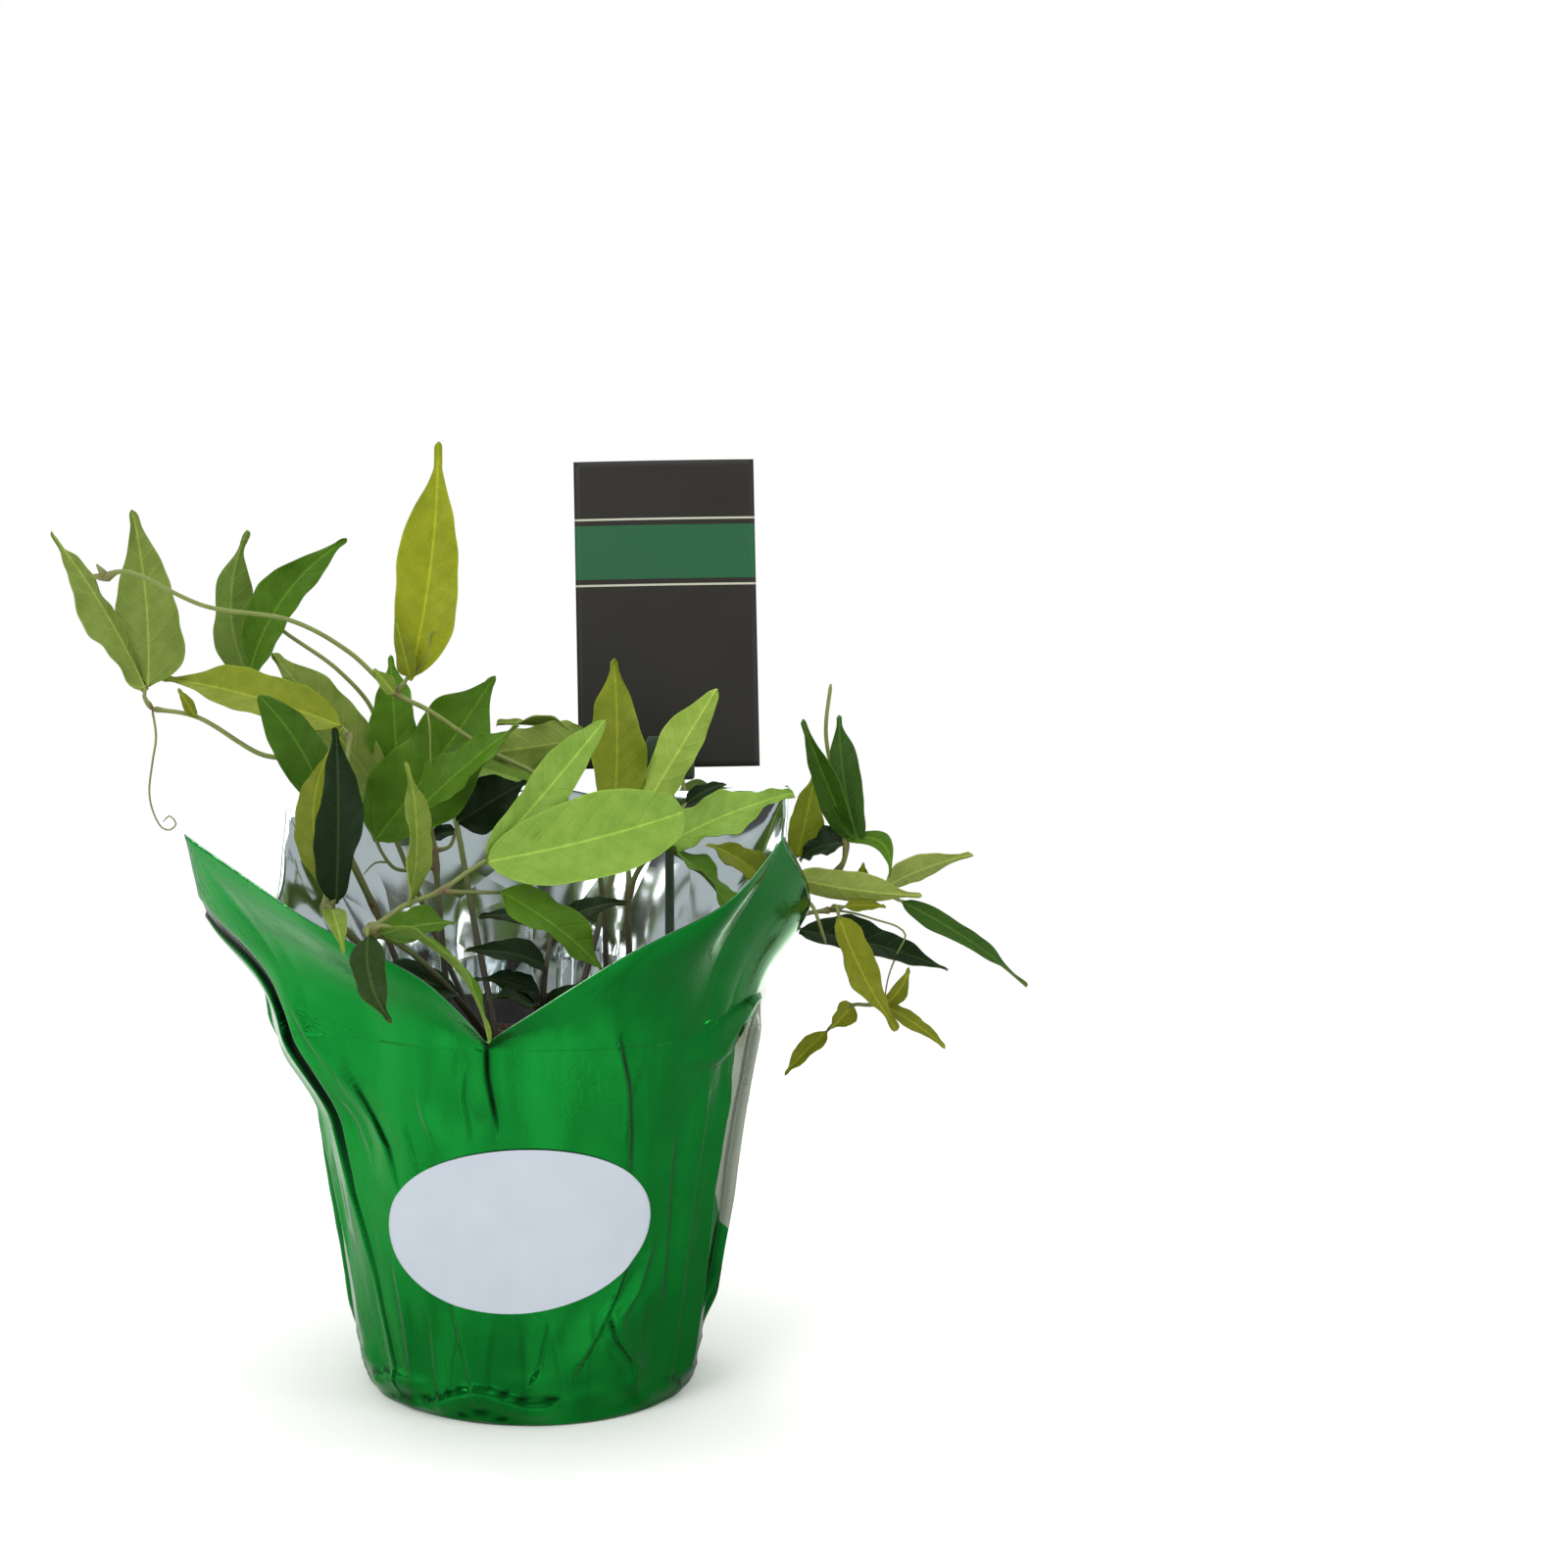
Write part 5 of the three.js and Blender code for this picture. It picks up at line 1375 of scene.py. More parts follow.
# %% One blade
def blade(item, rng):
    """Points, faces, finish of each face, place marks and tints of one leaf."""
    base, tip = np.array(item["base"], float), np.array(item["tip"], float)
    chord = tip - base
    length = np.linalg.norm(chord)
    along = chord / length
    normal = unit(np.array(item["face"]) - along * (along @ np.array(item["face"])))
    across = np.cross(along, normal)
    fold = BLADE_FOLD * (0.65 + 0.7 * rng.random())
    wave = BLADE_WAVE * item["width"] * (0.65 + 0.7 * rng.random()) * item["wave"]
    waves, phase = 1.5 + rng.random(), rng.random() * 2 * math.pi
    rows = max(14, int(length * 1.1 * SMOOTHNESS))
    half_columns = max(4, int(item["width"] * 0.75 * SMOOTHNESS))
    t = np.concatenate([[-0.015], 1 - (1 - np.linspace(0.004, 1, rows)) ** 1.12])[:, None]
    s = np.sin(np.linspace(-1, 1, 2 * half_columns + 1) * math.pi / 2)[None]
    bow = 4 * np.maximum(t, 0) * (1 - t)
    turn = math.radians(item["twist"]) * (t - 0.5)
    half = half_width(t, s, length, item, rng.uniform(0, 2 * math.pi, 3))
    side = across * np.cos(turn)[..., None] + normal * np.sin(turn)[..., None]
    rise = normal * np.cos(turn)[..., None] - across * np.sin(turn)[..., None]
    ripple = wave * np.sin(2 * math.pi * waves * t + phase + 1.1 * s) * s**2
    ripple = ripple + 0.3 * wave * np.sin(2 * math.pi * 2.7 * waves * t + 2 * phase - 1.7 * s) * s**4
    lift = np.abs(s) ** 1.25 * half * fold + ripple
    distance = np.abs(s) * half
    vein = (t * length - VEIN_SLANT * distance - VEIN_BEND * distance**2) / VEIN_STEP
    between = np.abs(np.sin(math.pi * vein)) ** 0.7
    quilt = 0.2 * (between - 0.6) * smooth(0, 1.2, distance) * (1 - smooth(0.8, 1, np.abs(s)))
    rib = 1 - smooth(0.0, 0.9 - 0.5 * np.clip(t, 0, 1), distance)
    centre = base + chord * t[..., None] + normal * (item["sag"] * bow)[..., None] + across * (
        item["bend"] * bow)[..., None]
    middle = centre + side * (s * half)[..., None]
    upper = middle + rise * (lift + quilt - 0.22 * rib + BLADE_SHEET / 2)[..., None]
    lower = middle + rise * (lift + quilt * 0.6 - 0.38 * rib - BLADE_SHEET / 2)[..., None]
    points, faces, side_of = thin_sheet(upper, lower)
    marks = np.stack(np.broadcast_arrays(s * half, t * length, np.abs(s)), 2).reshape(-1, 3)
    tint = np.array(item["tint"]) * (0.9 + 0.2 * rng.random())
    pale = tint * 0.45 + np.array(UNDERSIDE) * 0.55 * (0.45 + 0.9 * tint.max())
    count = upper.shape[0] * upper.shape[1]
    tints = np.concatenate([np.tile([*tint, 1], (count, 1)), np.tile([*pale, 1], (count, 1))])
    return points, faces, side_of, np.concatenate([marks, marks]), tints


one_blade = blade(leaf([0, 0, 0], [0, 0, 40], 10, FRONT), np.random.default_rng(0))
print("a leaf 40 mm long has", len(one_blade[1]), "faces")

# %% [markdown]
# Leaves: stems, stalks and tendrils.
# A stem is a round tube along a smooth curve through a few given points, thicker at the soil and
# swollen where a pair of leaves leaves it. Stalks are short thin tubes. Tendrils are thin as wire and
# never swell, and most end in a small curl.

# %% Stem curve and tube
STEM_STEP = 1.1


def stem(points, start_radius, end_radius, sides, swell):
    """A closed tube whose radius changes along it, and swells near the given places."""
    line = smooth_path(points, STEM_STEP / max(SMOOTHNESS, 0.6))
    ahead = np.gradient(line, axis=0)
    ahead /= np.linalg.norm(ahead, axis=1)[:, None]
    first = unit(np.cross(ahead[0], (0.31, 0.87, 0.38)))
    frames = [first]
    for k in range(1, len(line)):
        frames.append(unit(frames[-1] - ahead[k] * (frames[-1] @ ahead[k])))
    frames = np.array(frames)
    second = np.cross(ahead, frames)
    radius = np.linspace(start_radius, end_radius, len(line))
    for place in swell:
        radius = radius * (1 + 0.55 * np.exp(-0.5 * (np.linalg.norm(line - place, axis=1) / 1.6) ** 2))
    radius[0] *= 0.6
    radius[-1] *= 0.45
    turns = np.linspace(0, 2 * math.pi, sides, endpoint=False)
    grid = line[:, None] + radius[:, None, None] * (
        frames[:, None] * np.cos(turns)[None, :, None] + second[:, None] * np.sin(turns)[None, :, None])
    return grid.reshape(-1, 3), tube_faces(len(line), sides)


print("a straight stem 30 mm long has", len(stem([(0, 0, 0), (0, 0, 30)], 1, 0.5, 10, ())[0]), "points")

# %% [markdown]
# Where the stems and leaves go.
# Each stem starts at its root point on the soil and runs through listed points. These were read off
# the picture: how far left and how high each point lies, and from what covers what, how far back. A branch
# leaves the stem, a stalk is the short neck between a stem and a leaf, and a leaf runs from its foot to
# its tip.

# %% Stems at the left
def vine(radius, root, path, leaves, branches=(), stalks=(), tendrils=()):
    return dict(radius=radius, root=root, path=path, leaves=leaves, branches=[*branches], stalks=[*stalks],
                tendrils=[*tendrils])


VINES = {
    "vine_left_tip": vine(
        radius=0.95,
        root=[-26, -14],
        path=[[-34, -15, 112], [-46, -16, 140], [-58, -16, 162], [-68, -18, 165], [-83, -20, 174],
            [-94, -20, 176]],
        stalks=[
            [[-94, -20, 176], [-96, -19.5, 179], [-95.5, -19, 182]],
            [[-40, -16, 126], [-45, -22, 138], [-50, -26, 150]],
        ],
        leaves=[
            leaf([-96, -19, 181], [-120, -12, 220], 10.5, LEFT_BACK, -2, 0, 20, SLIM, tint=PALE, wave=1.3),
            leaf([-95, -19, 182], [-99, -14, 225], 16, BACK, 2, -1, tint=PALE),
            leaf([-50, -26, 150], [-66, -30, 179], 12, FRONT, 2, 2.4, 0, BROAD, tint=LEFT_GREEN, wave=0.5),
            leaf([-83, -21, 174], [-87, -22, 181], 3, FRONT, 1, tint=YOUNG),
        ],
        tendrils=[
            [[-94, -20, 176], [-93, -21, 169], [-94, -21, 163], [-95, -21, 155], [-94, -21, 150],
             [-92, -21, 146.5], [-90, -21, 146], [-88.5, -21, 147.5], [-90, -21.5, 149.5],
             [-91.5, -22.4, 148]],
        ],
    ),
    "vine_left_mid": vine(
        radius=0.9,
        root=[-14, 8],
        path=[[-26, 9, 118], [-38, 8, 149], [-41, 13, 164], [-42, 14, 176], [-51, 13, 187], [-65, 12, 197],
            [-71, 12, 202]],
        stalks=[
            [[-41, 13, 164], [-48, 16, 169], [-60, 17, 176], [-70, 16, 181], [-75, 13, 185]],
            [[-36, 8, 145], [-35, 7, 151], [-35, 9, 158]],
            [[-38, 8, 149], [-39.5, 6, 153], [-40, 4, 156]],
        ],
        leaves=[
            leaf([-40, 4, 156], [-67, 2, 191], 17, BACK, 2, 0, 0, OVAL, tint=PALE),
            leaf([-35, 9, 158], [-37, 10, 191], 13, FRONT, 1, tint=GREEN),
            leaf([-75, 13, 185], [-75, 16, 224], 12, BACK, 2, 5, 25, tint=GREEN, wave=1.3),
            leaf([-75, 12.5, 185.5], [-48, 8, 221], 11.5, FRONT, 2, -4, -30, OVAL, tint=GREEN, wave=1.3),
        ],
    ),
    "vine_runner": vine(
        radius=0.85,
        root=[20, 2],
        path=[[20, 2, 110], [19, 0, 128], [15, -4, 145], [4, -6, 158], [-11, -10, 166], [-26, -14, 176],
            [-34, -16, 180], [-45, -20, 190], [-58, -26, 197], [-78, -33, 200], [-97, -35, 208],
            [-102, -35, 206]],
        branches=[
            [[-101, -35, 206.5], [-105, -35, 207]],
            [[-101, -35, 206.5], [-103, -36, 209.5]],
        ],
        stalks=[
            [[-34, -16, 180], [-32, -16, 182], [-30, -16, 185]],
        ],
        leaves=[
            leaf([-30, -16, 184], [-23, -12, 242], 16, FRONT, 2, 2, 0, SLIM, tint=LIME),
            leaf([-30, -17, 184], [-33, -21, 197], 5, FRONT, 1, tint=OLIVE),
            leaf([-34, -17, 180], [-39, -18, 186], 4, FRONT, 0.5, tint=PALE),
        ],
        tendrils=[
            [[-30, -16, 184], [-27, -17, 187], [-25, -17.5, 191], [-24.6, -18, 194.5], [-23.2, -18, 195],
             [-22.8, -18, 192], [-23.4, -18, 190]],
            [[-26, -14, 176], [-25.3, -16, 172], [-25, -16.5, 162]],
        ],
    ),
}
print(len(VINES), "stems at the left")

# %% [markdown]
# Stems in front.
# Two stems lean out over the notch of the foil. Their leaves are the nearest ones, and the light ones lie
# over the dark ones. The low shoots fill the mouth of the pot.

# %% Stems in front
VINES.update({
    "vine_front_left": vine(
        radius=1.1,
        root=[-22, -28],
        path=[[-33, -37, 110], [-43, -44, 122], [-48, -46, 128], [-48, -42, 134], [-46, -32, 146],
            [-46, -22, 160], [-45, -16, 170]],
        stalks=[
            [[-48, -46, 128], [-46, -46, 130.5]],
            [[-48, -46, 128], [-47.3, -49, 129], [-46.5, -51, 128.5]],
            [[-45, -16, 169], [-48, -15, 172]],
        ],
        leaves=[
            leaf([-46, -46, 130], [-46, -42, 171], 10.6, FRONT, 2, 0.8, 0, OVAL, tint=DARK_IN_SHADE, wave=1.5),
            leaf([-47, -44, 132], [-45, -36, 171], 9, LEFT_FRONT, 2, -6, 30, tint=OLIVE),
            leaf([-48, -15, 172], [-93, -12, 184], 15, FRONT_UP, 2, 0, 0, OVAL, tint=OLIVE, wave=0.35),
            leaf([-46.5, -51, 128.5], [-42, -67, 120], 5, FRONT_UP, 2, tint=PALE),
        ],
    ),
    "vine_front": vine(
        radius=1.1,
        root=[-8, -26],
        path=[[-18, -38, 106], [-30, -52, 120], [-37, -58, 124]],
        branches=[
            [[-37, -58, 124], [-29, -58, 130], [-21, -55, 133], [-15, -50, 137], [-10, -46, 140]],
        ],
        stalks=[
            [[-20, -55, 133], [-14, -50, 132.5], [-7, -44, 132]],
            [[-37, -58, 124], [-34, -60, 125.5], [-31, -60, 125]],
            [[-37, -58, 124], [-37.5, -60.5, 124.3], [-37, -62, 123]],
        ],
        leaves=[
            leaf([-10, -46, 139.5], [37, -38, 151], 20, FRONT, 2, 1.2, 0, ROUND, tint=LIGHT, wave=0.35),
            leaf([-10, -45.5, 140.5], [18, -34, 173], 10, FRONT, 1, 0.5, 0, BROAD, tint=LIGHT),
            leaf([-7, -44, 132], [19, -40, 111], 11, FRONT_UP, 3, tint=GREEN),
            leaf([-28, -57.5, 130], [-29, -48, 163], 8, RIGHT_FRONT, 1, 2, 60, tint=PALE),
            leaf([-35, -56, 123], [-18, -46, 125], 10, FRONT_UP, 1, tint=GREEN),
            leaf([-31, -60, 125], [-9, -70, 100], 7, [0.65, 0.1, 0.75], 5, tint=GREEN),
            leaf([-37, -62, 123], [-31, -73, 105], 8, FRONT, 1, 2, tint=SHADED),
            leaf([-18, -38, 107], [-38, -52, 115], 9, FRONT_UP, 1, tint=DARK_IN_SHADE),
        ],
    ),
    "vine_dark_centre": vine(
        radius=1.1,
        root=[-20, -6],
        path=[[-22, -6, 106], [-25, -6, 141], [-26, -9, 148], [-27, -15, 152]],
        stalks=[
            [[-24.5, -6, 136], [-30, -6, 135], [-35, -6.5, 135.5], [-38, -6.5, 139], [-40, -6, 143]],
            [[-25, -6, 140], [-21, -2, 141], [-19.5, 1, 145], [-19, 3, 147.5]],
        ],
        leaves=[
            leaf([-27, -14.8, 152], [-3, -20, 172], 12, FRONT_UP, 1, 0, 20, tint=GREEN),
            leaf([-40, -6, 143], [-9, -3, 185], 23, FRONT, 1, 1, 0, OVAL, tint=GREEN),
            leaf([-19, 3, 147], [-1, 8, 158], 13, FRONT, 1, tint=DARK_IN_SHADE),
            leaf([-19.5, 1, 144.5], [-28, 3, 142], 5, FRONT_UP, 1, tint=DARK_IN_SHADE),
        ],
        tendrils=[
            [[-36, -6.5, 137], [-40, -8, 137], [-43, -9, 134]],
        ],
    ),
    "shoots_low": vine(
        radius=1.0,
        root=[2, -22],
        path=[[3, -24, 100], [4, -24, 112], [6, -18, 123]],
        leaves=[
            leaf([4, -24, 112], [-16, -34, 117], 8, FRONT_UP, 2, tint=DARK_IN_SHADE),
            leaf([3, -24, 104], [-14, -33, 110], 7, FRONT_UP, 2, tint=DARK_IN_SHADE),
            leaf([6, -18.5, 122], [-13, -20, 124], 6, FRONT_UP, 2, tint=DARK_IN_SHADE),
            leaf([6, -18.5, 122], [25, -12, 127], 6, FRONT_UP, 2, tint=DARK_IN_SHADE),
            leaf([3, -24, 100], [-10, -46, 107], 8, FRONT_UP, 2, tint=DARK_IN_SHADE),
            leaf([3, -24, 100], [24, -36, 108], 8, FRONT_UP, 2, tint=DARK_IN_SHADE),
        ],
    ),
})
print(len(VINES), "stems so far")

# %% [markdown]
# Stems at the right.
# This side has the finest stems and the youngest leaves, which are nearly yellow. A thin tendril hangs
# down outside the foil and ends in a few small new leaves.

# %% Stems at the right
VINES.update({
    "vine_centre": vine(
        radius=1.2,
        root=[26, -2],
        path=[[26, -2, 113], [26, -2, 129], [31, -4, 139], [34, -6, 141]],
        branches=[
            [[26, -2, 129], [25.5, 2, 138], [24, 5, 144], [22, 6, 148]],
            [[25.5, 2, 138], [22, 9, 146], [19, 13, 156], [17, 11, 167], [16, 7, 169]],
        ],
        stalks=[
            [[25, 3, 141], [27, 4, 146], [29, 4, 149.5]],
            [[31, -4, 139], [36, 4, 146], [42, 12, 152]],
        ],
        leaves=[
            leaf([22, 6, 147], [22, 10, 190], 14, FRONT, 1, 1, 0, OVAL, tint=OLIVE),
            leaf([29, 4, 149], [49, 6, 182], 11, BACK, 1, 0, 0, BROAD, tint=BRIGHT),
            leaf([34, -6, 141], [67, -12, 155], 14, FRONT_UP, 2, 0, 0, OVAL, tint=LIGHT),
            leaf([34, -7, 141], [53, -28, 118], 11, RIGHT_UP, 4, tint=GREEN),
            leaf([16, 6, 169], [-12, 0, 165], 12, BACK, 1, 0, 0, BROAD, tint=PALE),
            leaf([17, 10, 168], [-9, 12, 173], 9, UP, 2, tint=PALE),
            leaf([42, 12, 152], [53, 16, 157], 5, FRONT_UP, 1, tint=DARK_IN_SHADE),
        ],
    ),
    "vine_right_up": vine(
        radius=1.0,
        root=[32, 12],
        path=[[42, 11, 108], [54, 7, 122], [64, 2, 130], [74, 0, 131], [81, -4, 136], [82, -6, 143]],
        branches=[
            [[82, -5, 141], [80, -1, 155], [77, 0, 170], [78, 0, 183]],
            [[80, -3.5, 135], [83, -6, 133], [86, -6, 132], [92, -8, 131]],
        ],
        stalks=[
            [[64, 2, 130], [68, 5, 134], [71, 6, 138]],
            [[64, 2, 130], [66, -3, 132], [69, -6, 133]],
            [[86, -6, 132], [91, -9, 129.5], [96, -10, 127]],
            [[56, 6, 124], [60, 6, 129], [62, 5, 132]],
        ],
        leaves=[
            leaf([83, -6.5, 143], [69, -12, 173.5], 7.5, LEFT_FRONT, 1, 0, -20, tint=DEEP, wave=0.7),
            leaf([84.5, -8, 142.5], [80, -2, 175], 8.5, FRONT, 1, -1.5, 0, OVAL, tint=DEEP, wave=0.7),
            leaf([82, -5, 142], [71, 2, 137], 9, FRONT_UP, 2, tint=DARK_IN_SHADE),
            leaf([82, -7, 143], [92, -12, 133.5], 5, FRONT, 1, -5, tint=GREEN, wave=0.4),
            leaf([71, 6, 138], [75, 4, 160], 9, FRONT, 1, tint=OLIVE),
            leaf([92, -8, 131], [115, -4, 139], 7.5, (0, 0.85, 0.4), 2, tint=STRAW),
            leaf([69, -6, 133], [100, -14, 129], 8.5, (0, 0.85, 0.3), -2, tint=STRAW, wave=0.6),
            leaf([96, -10, 127], [127, -16, 106], 6, FRONT_UP, 2, 0, 80, tint=DEEP),
            leaf([62, 5, 131.5], [47, 9, 141], 9, FRONT_UP, 2, tint=OLIVE),
            leaf([85.5, -6, 132], [86, -8, 137], 3, FRONT, 0.5, tint=YOUNG),
        ],
    ),
    "vine_right_low": vine(
        radius=0.85,
        root=[36, -3],
        path=[[46, -4, 106], [58, -6, 118], [68, -7, 123], [78, -9, 125]],
        branches=[
            [[70, -7, 123.5], [71, -12, 127], [72, -16, 126], [75, -18, 117]],
        ],
        stalks=[
            [[78, -9, 125], [78.5, -12, 126], [79, -14, 123]],
            [[67, -7, 122.5], [69, -5, 121], [71, -4, 119]],
            [[78, -9, 125], [81, -11, 126]],
            [[91.5, -8, 100.5], [88, -8, 100], [84, -8, 100], [80, -9, 96.5], [77, -9, 93]],
        ],
        leaves=[
            leaf([79, -14, 123], [93, -20, 95], 9.5, (0.45, -0.85, 0.1), 1, 2, tint=YOUNG),
            leaf([71, -4, 119], [109, -6, 109], 11, FRONT_UP, 2, tint=DARK_IN_SHADE),
            leaf([81, -11, 126], [91, -13, 126], 4, FRONT_UP, 0.5, tint=YOUNG),
            leaf([92, -8, 100], [98, -10, 110], 4.5, FRONT, 1, 1, tint=YOUNG),
            leaf([92, -8, 100], [108, -10, 89], 5, FRONT_UP, 1, tint=YOUNG),
            leaf([84, -8, 100], [78, -10, 94], 6, FRONT, 0.5, tint=YOUNG),
            leaf([77, -9, 93], [66, -11, 82], 5, FRONT_UP, 1, tint=YOUNG),
        ],
        tendrils=[
            [[78, -9, 125], [84, -10, 124], [89, -10, 122.5], [95, -9, 120.5], [97, -9, 118.5], [95, -8, 113],
             [93, -8, 107], [92, -8, 99.5]],
        ],
    ),
})
print(len(VINES), "stems so far")

# %% [markdown]
# Stems at the back.
# The picture doesn't show the back. A plant like this one grows to all sides, so two leafy stems arch over
# the back edge of the foil.

# %% Stems at the back
VINES.update({
    "vine_back_left": vine(
        radius=1.1,
        root=[-10, 24],
        path=[[-16, 36, 118], [-22, 50, 148], [-27, 62, 163], [-34, 77, 163], [-40, 88, 152], [-46, 97, 138]],
        leaves=[
            leaf([-23, 52, 152], [-60, 58, 168], 13, BACK_UP, 2, tint=GREEN),
            leaf([-27, 63, 163.5], [8, 82, 152], 13, BACK_UP, 3, tint=LIGHT),
            leaf([-37, 82, 159], [-68, 104, 132], 14, BACK_UP, 5, tint=GREEN),
            leaf([-37, 82, 159], [-10, 108, 130], 13, BACK_UP, 5, tint=DEEP),
            leaf([-46, 97, 138], [-64, 108, 100], 12, BACK, 3, tint=GREEN),
            leaf([-46, 97, 138], [-38, 112, 98], 12, BACK, 3, tint=DEEP),
        ],
    ),
    "vine_back_right": vine(
        radius=1.1,
        root=[12, 24],
        path=[[20, 38, 118], [29, 52, 148], [36, 64, 168], [42, 78, 172], [47, 90, 160], [50, 98, 142]],
        leaves=[
            leaf([31, 55.5, 154], [66, 62, 176], 13, BACK_UP, 2, tint=GREEN),
            leaf([32, 57, 157], [2, 70, 172], 13, BACK_UP, 2, tint=DEEP),
            leaf([41, 76, 172], [28, 84, 207], 13, BACK, 2, tint=LIGHT),
            leaf([42, 78, 172], [70, 98, 192], 13, BACK_UP, 2, tint=GREEN),
            leaf([48, 93, 155], [78, 112, 132], 13, BACK_UP, 4, tint=DEEP),
            leaf([50, 98, 142], [28, 116, 108], 13, BACK, 4, tint=GREEN),
            leaf([50, 98, 142], [66, 112, 104], 12, BACK, 3, tint=GREEN),
        ],
    ),
})
print(len(VINES), "stems so far")

# %% [markdown]
# Leaf and stem finishes.
# The finish of a leaf is worked out from its own place marks: millimetres out from the midrib, and
# millimetres from the foot. Side veins leave the midrib on a slant and bend to the tip; a fine net lies
# between them. Two more layers of noise make the green uneven. The underside is paler and duller, and
# light shines through a thin blade.

# %% Leaf finish
def leaf_finish(name, underside):
    finish = Finish(name)
    place = finish.attribute("blade_mm").outputs["Vector"]
    tint = finish.attribute("tint").outputs["Color"]
    across, along, share = finish.add("SeparateXYZ", {0: place}).outputs
    out = finish.math("ABSOLUTE", across)
    slanting = finish.math("MULTIPLY_ADD", out, -VEIN_SLANT, along)
    bent = finish.math("MULTIPLY_ADD", finish.math("MULTIPLY", out, out), -VEIN_BEND, slanting)
    to_vein = finish.math("PINGPONG", finish.math("DIVIDE", bent, VEIN_STEP), 0.5)
    vein = finish.remap(to_vein, 0.0, 0.07, 1, 0)
    midrib = finish.remap(out, 0.08, 0.42, 1, 0)
    net = finish.add("TexVoronoi", {"Vector": place, "Scale": 1.1}, feature="DISTANCE_TO_EDGE").outputs[0]
    lines = finish.remap(net, 0.0, 0.1, 1, 0)
    mottle = finish.noise(place, 0.22, 4, 0.6)
    speckle = finish.noise(place, 1.6, 3)
    colour = finish.mix(finish.remap(mottle, 0.3, 0.7, 0, 0.55), tint, finish.mix(
        1.0, tint, (0.62, 0.72, 0.5), "MULTIPLY"))
    colour = finish.mix(finish.remap(speckle, 0.5, 0.75, 0, 0.25), colour, finish.mix(
        1.0, colour, (1.25, 1.2, 0.95), "MULTIPLY"))
    colour = finish.mix(finish.math("MULTIPLY", lines, 0.12), colour, finish.mix(
        1.0, colour, (0.7, 0.8, 0.6), "MULTIPLY"))
    lighter = finish.mix(1.0, colour, (1.6, 1.5, 1.5), "MULTIPLY")
    lighter = finish.mix(1.0, lighter, (0.03, 0.035, 0.012), "ADD")
    colour = finish.mix(finish.math("MULTIPLY", vein, 0.5 if underside else 0.3), colour, lighter)
    colour = finish.mix(finish.math("MULTIPLY", midrib, 0.8), colour, lighter)
    colour = finish.mix(finish.remap(share, 0.93, 1.0, 0, 0.35), colour, lighter)
    way = 1 if underside else -1
    raised = finish.math("MULTIPLY_ADD", lines, 0.25 * way, finish.math("MULTIPLY", vein, way))
    normal = finish.bump(finish.math("MULTIPLY_ADD", speckle, 0.35, raised), 0.16, 0.8)
    glossiest = 0.5 if underside else 0.4
    rough = finish.remap(mottle, 0.3, 0.7, glossiest, glossiest + 0.12)
    finish.set(finish.shader, {"Base Color": colour, "Roughness": rough, "Normal": normal,
                               "Specular IOR Level": 0.2})
    through = finish.add("BsdfTranslucent", {"Color": finish.mix(
        1.0, colour, (1.1, 1.25, 0.55), "MULTIPLY"), "Normal": normal})
    both = finish.add("MixShader", {0: 0.28, 1: finish.shader.outputs[0], 2: through.outputs[0]})
    finish.set(finish.tree.nodes["Material Output"], {"Surface": both.outputs[0]})
    return finish.material


LEAF_FINISHES = [leaf_finish("leaf_upper", False), leaf_finish("leaf_underside", True)]
print("leaf finishes:", [finish.name for finish in LEAF_FINISHES])

# %% Stem finish
def stem_finish():
    finish = Finish("stem_skin", roughness=0.55)
    place = finish.attribute("blade_mm").outputs["Vector"]
    tint = finish.attribute("tint").outputs["Color"]
    tall = finish.add("Mapping", {"Vector": place, "Scale": (2.2, 0.25, 1)}).outputs[0]
    grooves = finish.noise(tall, 1.0, 4)
    blotch = finish.noise(place, 0.5, 3)
    colour = finish.mix(finish.remap(grooves, 0.4, 0.7, 0, 0.6), tint, finish.mix(
        1.0, tint, (0.5, 0.5, 0.45), "MULTIPLY"))
    colour = finish.mix(finish.remap(blotch, 0.5, 0.8, 0, 0.5), colour, finish.mix(
        1.0, colour, (1.4, 1.15, 0.9), "MULTIPLY"))
    finish.set(finish.shader, {"Base Color": colour, "Normal": finish.bump(grooves, 0.15, 0.6),
                               "Roughness": finish.remap(blotch, 0.3, 0.7, 0.45, 0.65)})
    return finish.material


PLANT_FINISHES = LEAF_FINISHES + [stem_finish()]
print("plant finishes:", [finish.name for finish in PLANT_FINISHES])

# %% [markdown]
# Growing the plant.
# Each stem with its branches, stalks, leaves and tendrils becomes one piece, because in the plant it is
# one. The stem's colour goes from brown wood at the soil to green, with a reddish ring where leaves join.

# %% Stem colours
# Millimetres from the root at which a stem's wood starts to turn green, and is green
WOOD_ENDS, GREEN_STARTS = 20, 75
WOOD, GREEN_STEM, NODE_RED = linear(56, 50, 34), linear(116, 130, 60), linear(98, 66, 46)


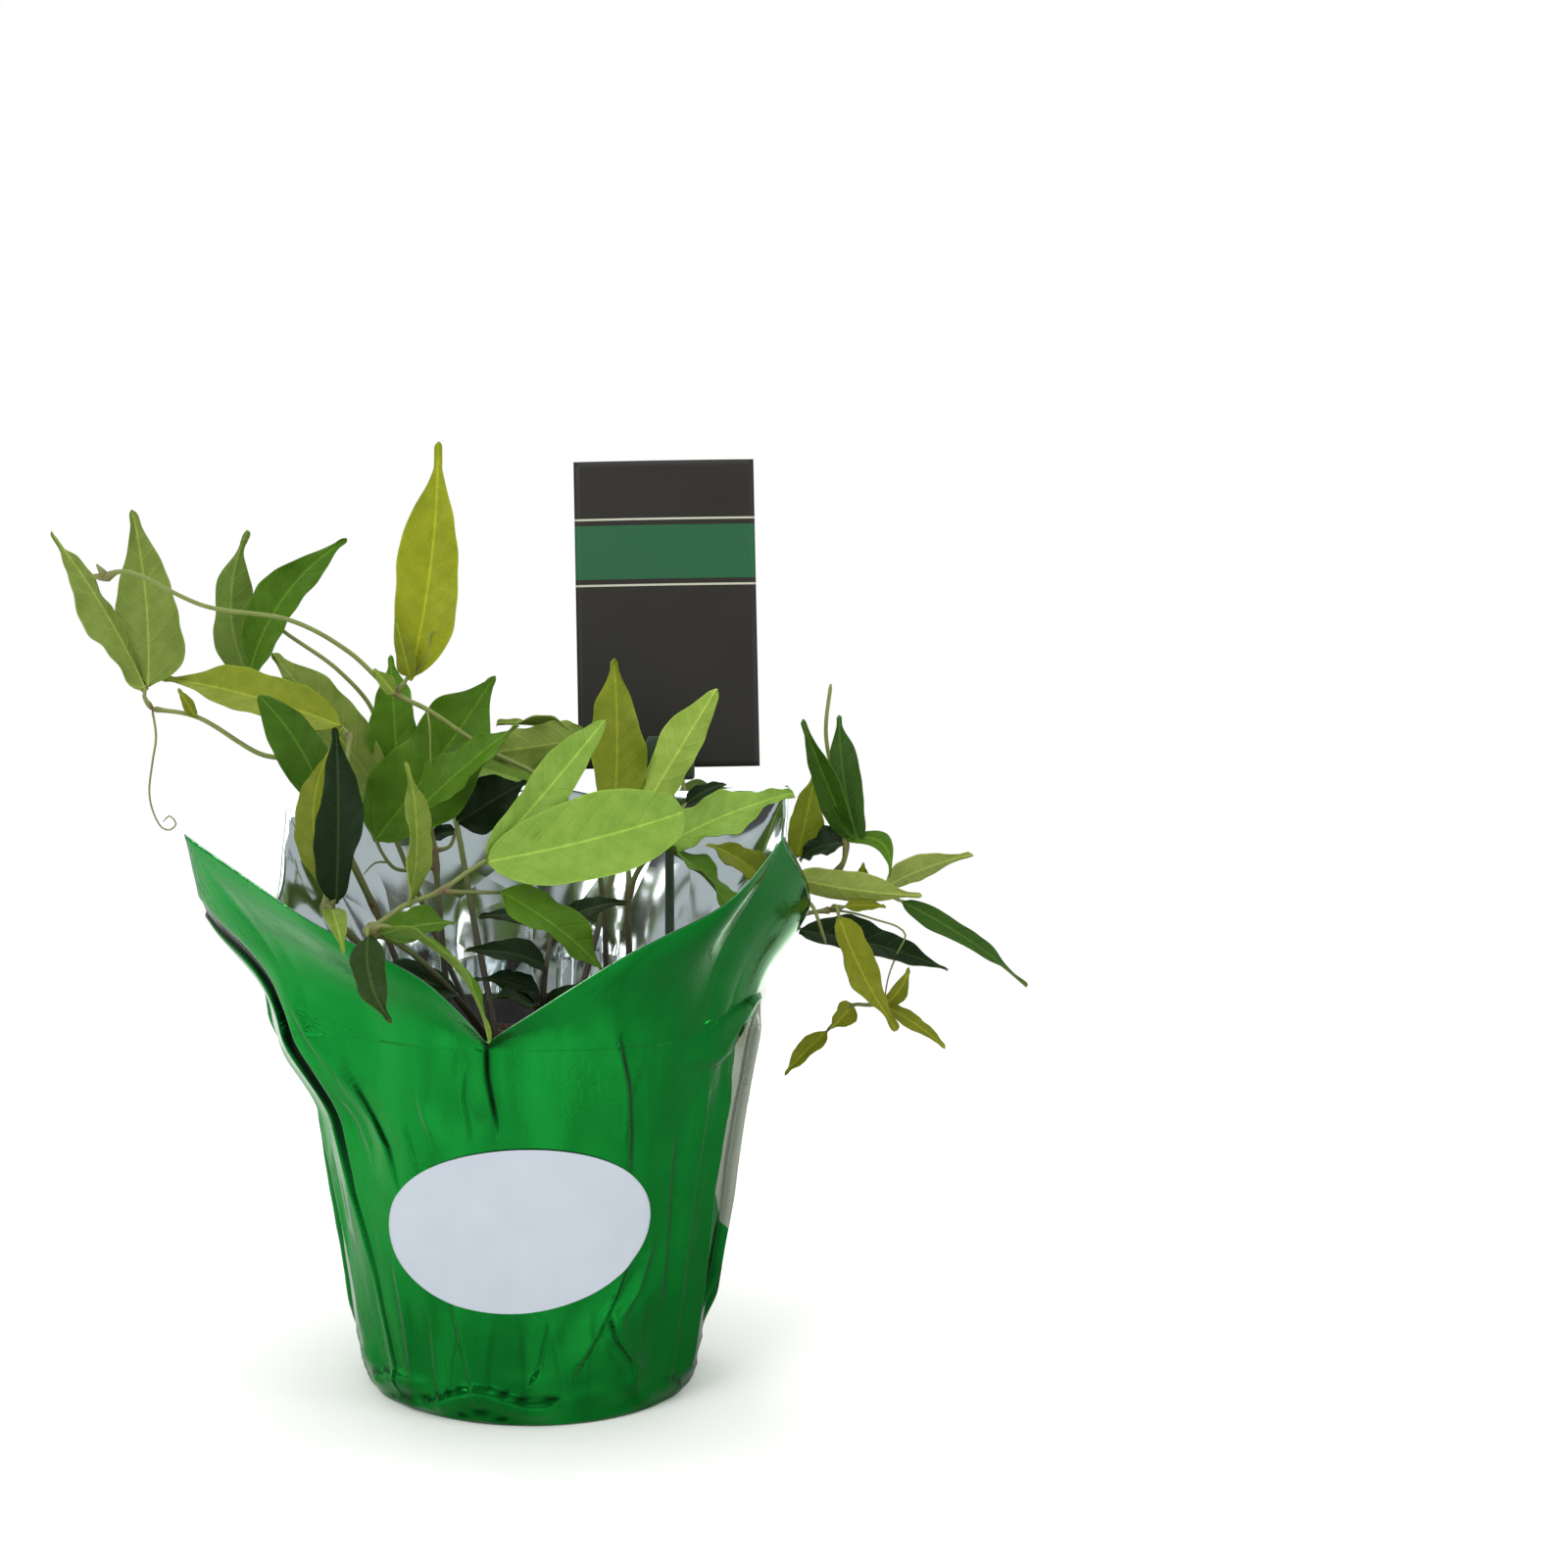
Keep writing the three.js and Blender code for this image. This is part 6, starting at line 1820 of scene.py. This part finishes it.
def stem_marks(points, sides, root, nodes):
    """Place marks and colours for the points of one tube."""
    count = len(points)
    around = np.tile(np.arange(sides), count // sides) * 0.6
    along = np.repeat(np.arange(count // sides), sides) * STEM_STEP
    from_root = np.linalg.norm(points - np.array([*root, SOIL_Z]), axis=1)
    share = smooth(WOOD_ENDS, GREEN_STARTS, from_root)[:, None]
    colour = np.array(WOOD) * (1 - share) + np.array(GREEN_STEM) * share
    if len(nodes):
        near = np.min([np.linalg.norm(points - node, axis=1) for node in nodes], 0)
        red = np.exp(-0.5 * (near / 1.4) ** 2)[:, None] * 0.8
        colour = colour * (1 - red) + np.array(NODE_RED) * red
    marks = np.stack([around, along, np.zeros(count)], 1)
    return marks, np.concatenate([colour, np.ones((count, 1))], 1)


print("wood turns green between", WOOD_ENDS, "and", GREEN_STARTS, "mm from the root")

# %% Grow
PLANT_SEED = 40
STALK_RADIUS, TENDRIL_RADIUS = 0.75, 0.45
# First and last radius of each kind of tube, as shares of the plain solid's, which is thicker than a real one
MAIN_TAPER, BRANCH_TAPER, STALK_TAPER, TENDRIL_TAPER = (0.95, 0.58), (0.62, 0.5), (0.75, 0.6), (0.7, 0.4)


def grow(plan, seed):
    """Points, faces, finish of each face, place marks and tints of one stem with all that it carries."""
    rng = np.random.default_rng(seed)
    root = plan["root"]
    nodes = [np.array(line[0], float) for line in plan["stalks"] + plan["branches"]]
    main = [[*root, SOIL_Z - 7.5], [*root, SOIL_Z + 2], *plan["path"]]
    kinds = [([main], plan["radius"], MAIN_TAPER), (plan["branches"], plan["radius"], BRANCH_TAPER),
             (plan["stalks"], STALK_RADIUS, STALK_TAPER), (plan["tendrils"], TENDRIL_RADIUS, TENDRIL_TAPER)]
    parts, which, marks, tints = [], [], [], []
    for lines, radius, (first, last) in kinds:
        sides, swell = (10, nodes) if radius * first > 0.5 else (7, ())
        for line in lines:
            points, faces = stem(line, radius * first, radius * last, sides, swell)
            mark, tint = stem_marks(points, sides, root, nodes)
            parts.append((points, faces))
            which += [2] * len(faces)
            marks.append(mark)
            tints.append(tint)
    for item in plan["leaves"]:
        points, faces, side, mark, tint = blade(item, rng)
        parts.append((points, faces))
        which += side.tolist()
        marks.append(mark)
        tints.append(tint)
    return *join_parts(parts), which, np.concatenate(marks), np.concatenate(tints)


for number, (node, plan) in enumerate(VINES.items()):
    points, faces, which, marks, tints = grow(plan, PLANT_SEED + number)
    make_piece(node + "_grown", points, faces, [node], PLANT_FINISHES, which,
               {"blade_mm": marks, "tint": tints})
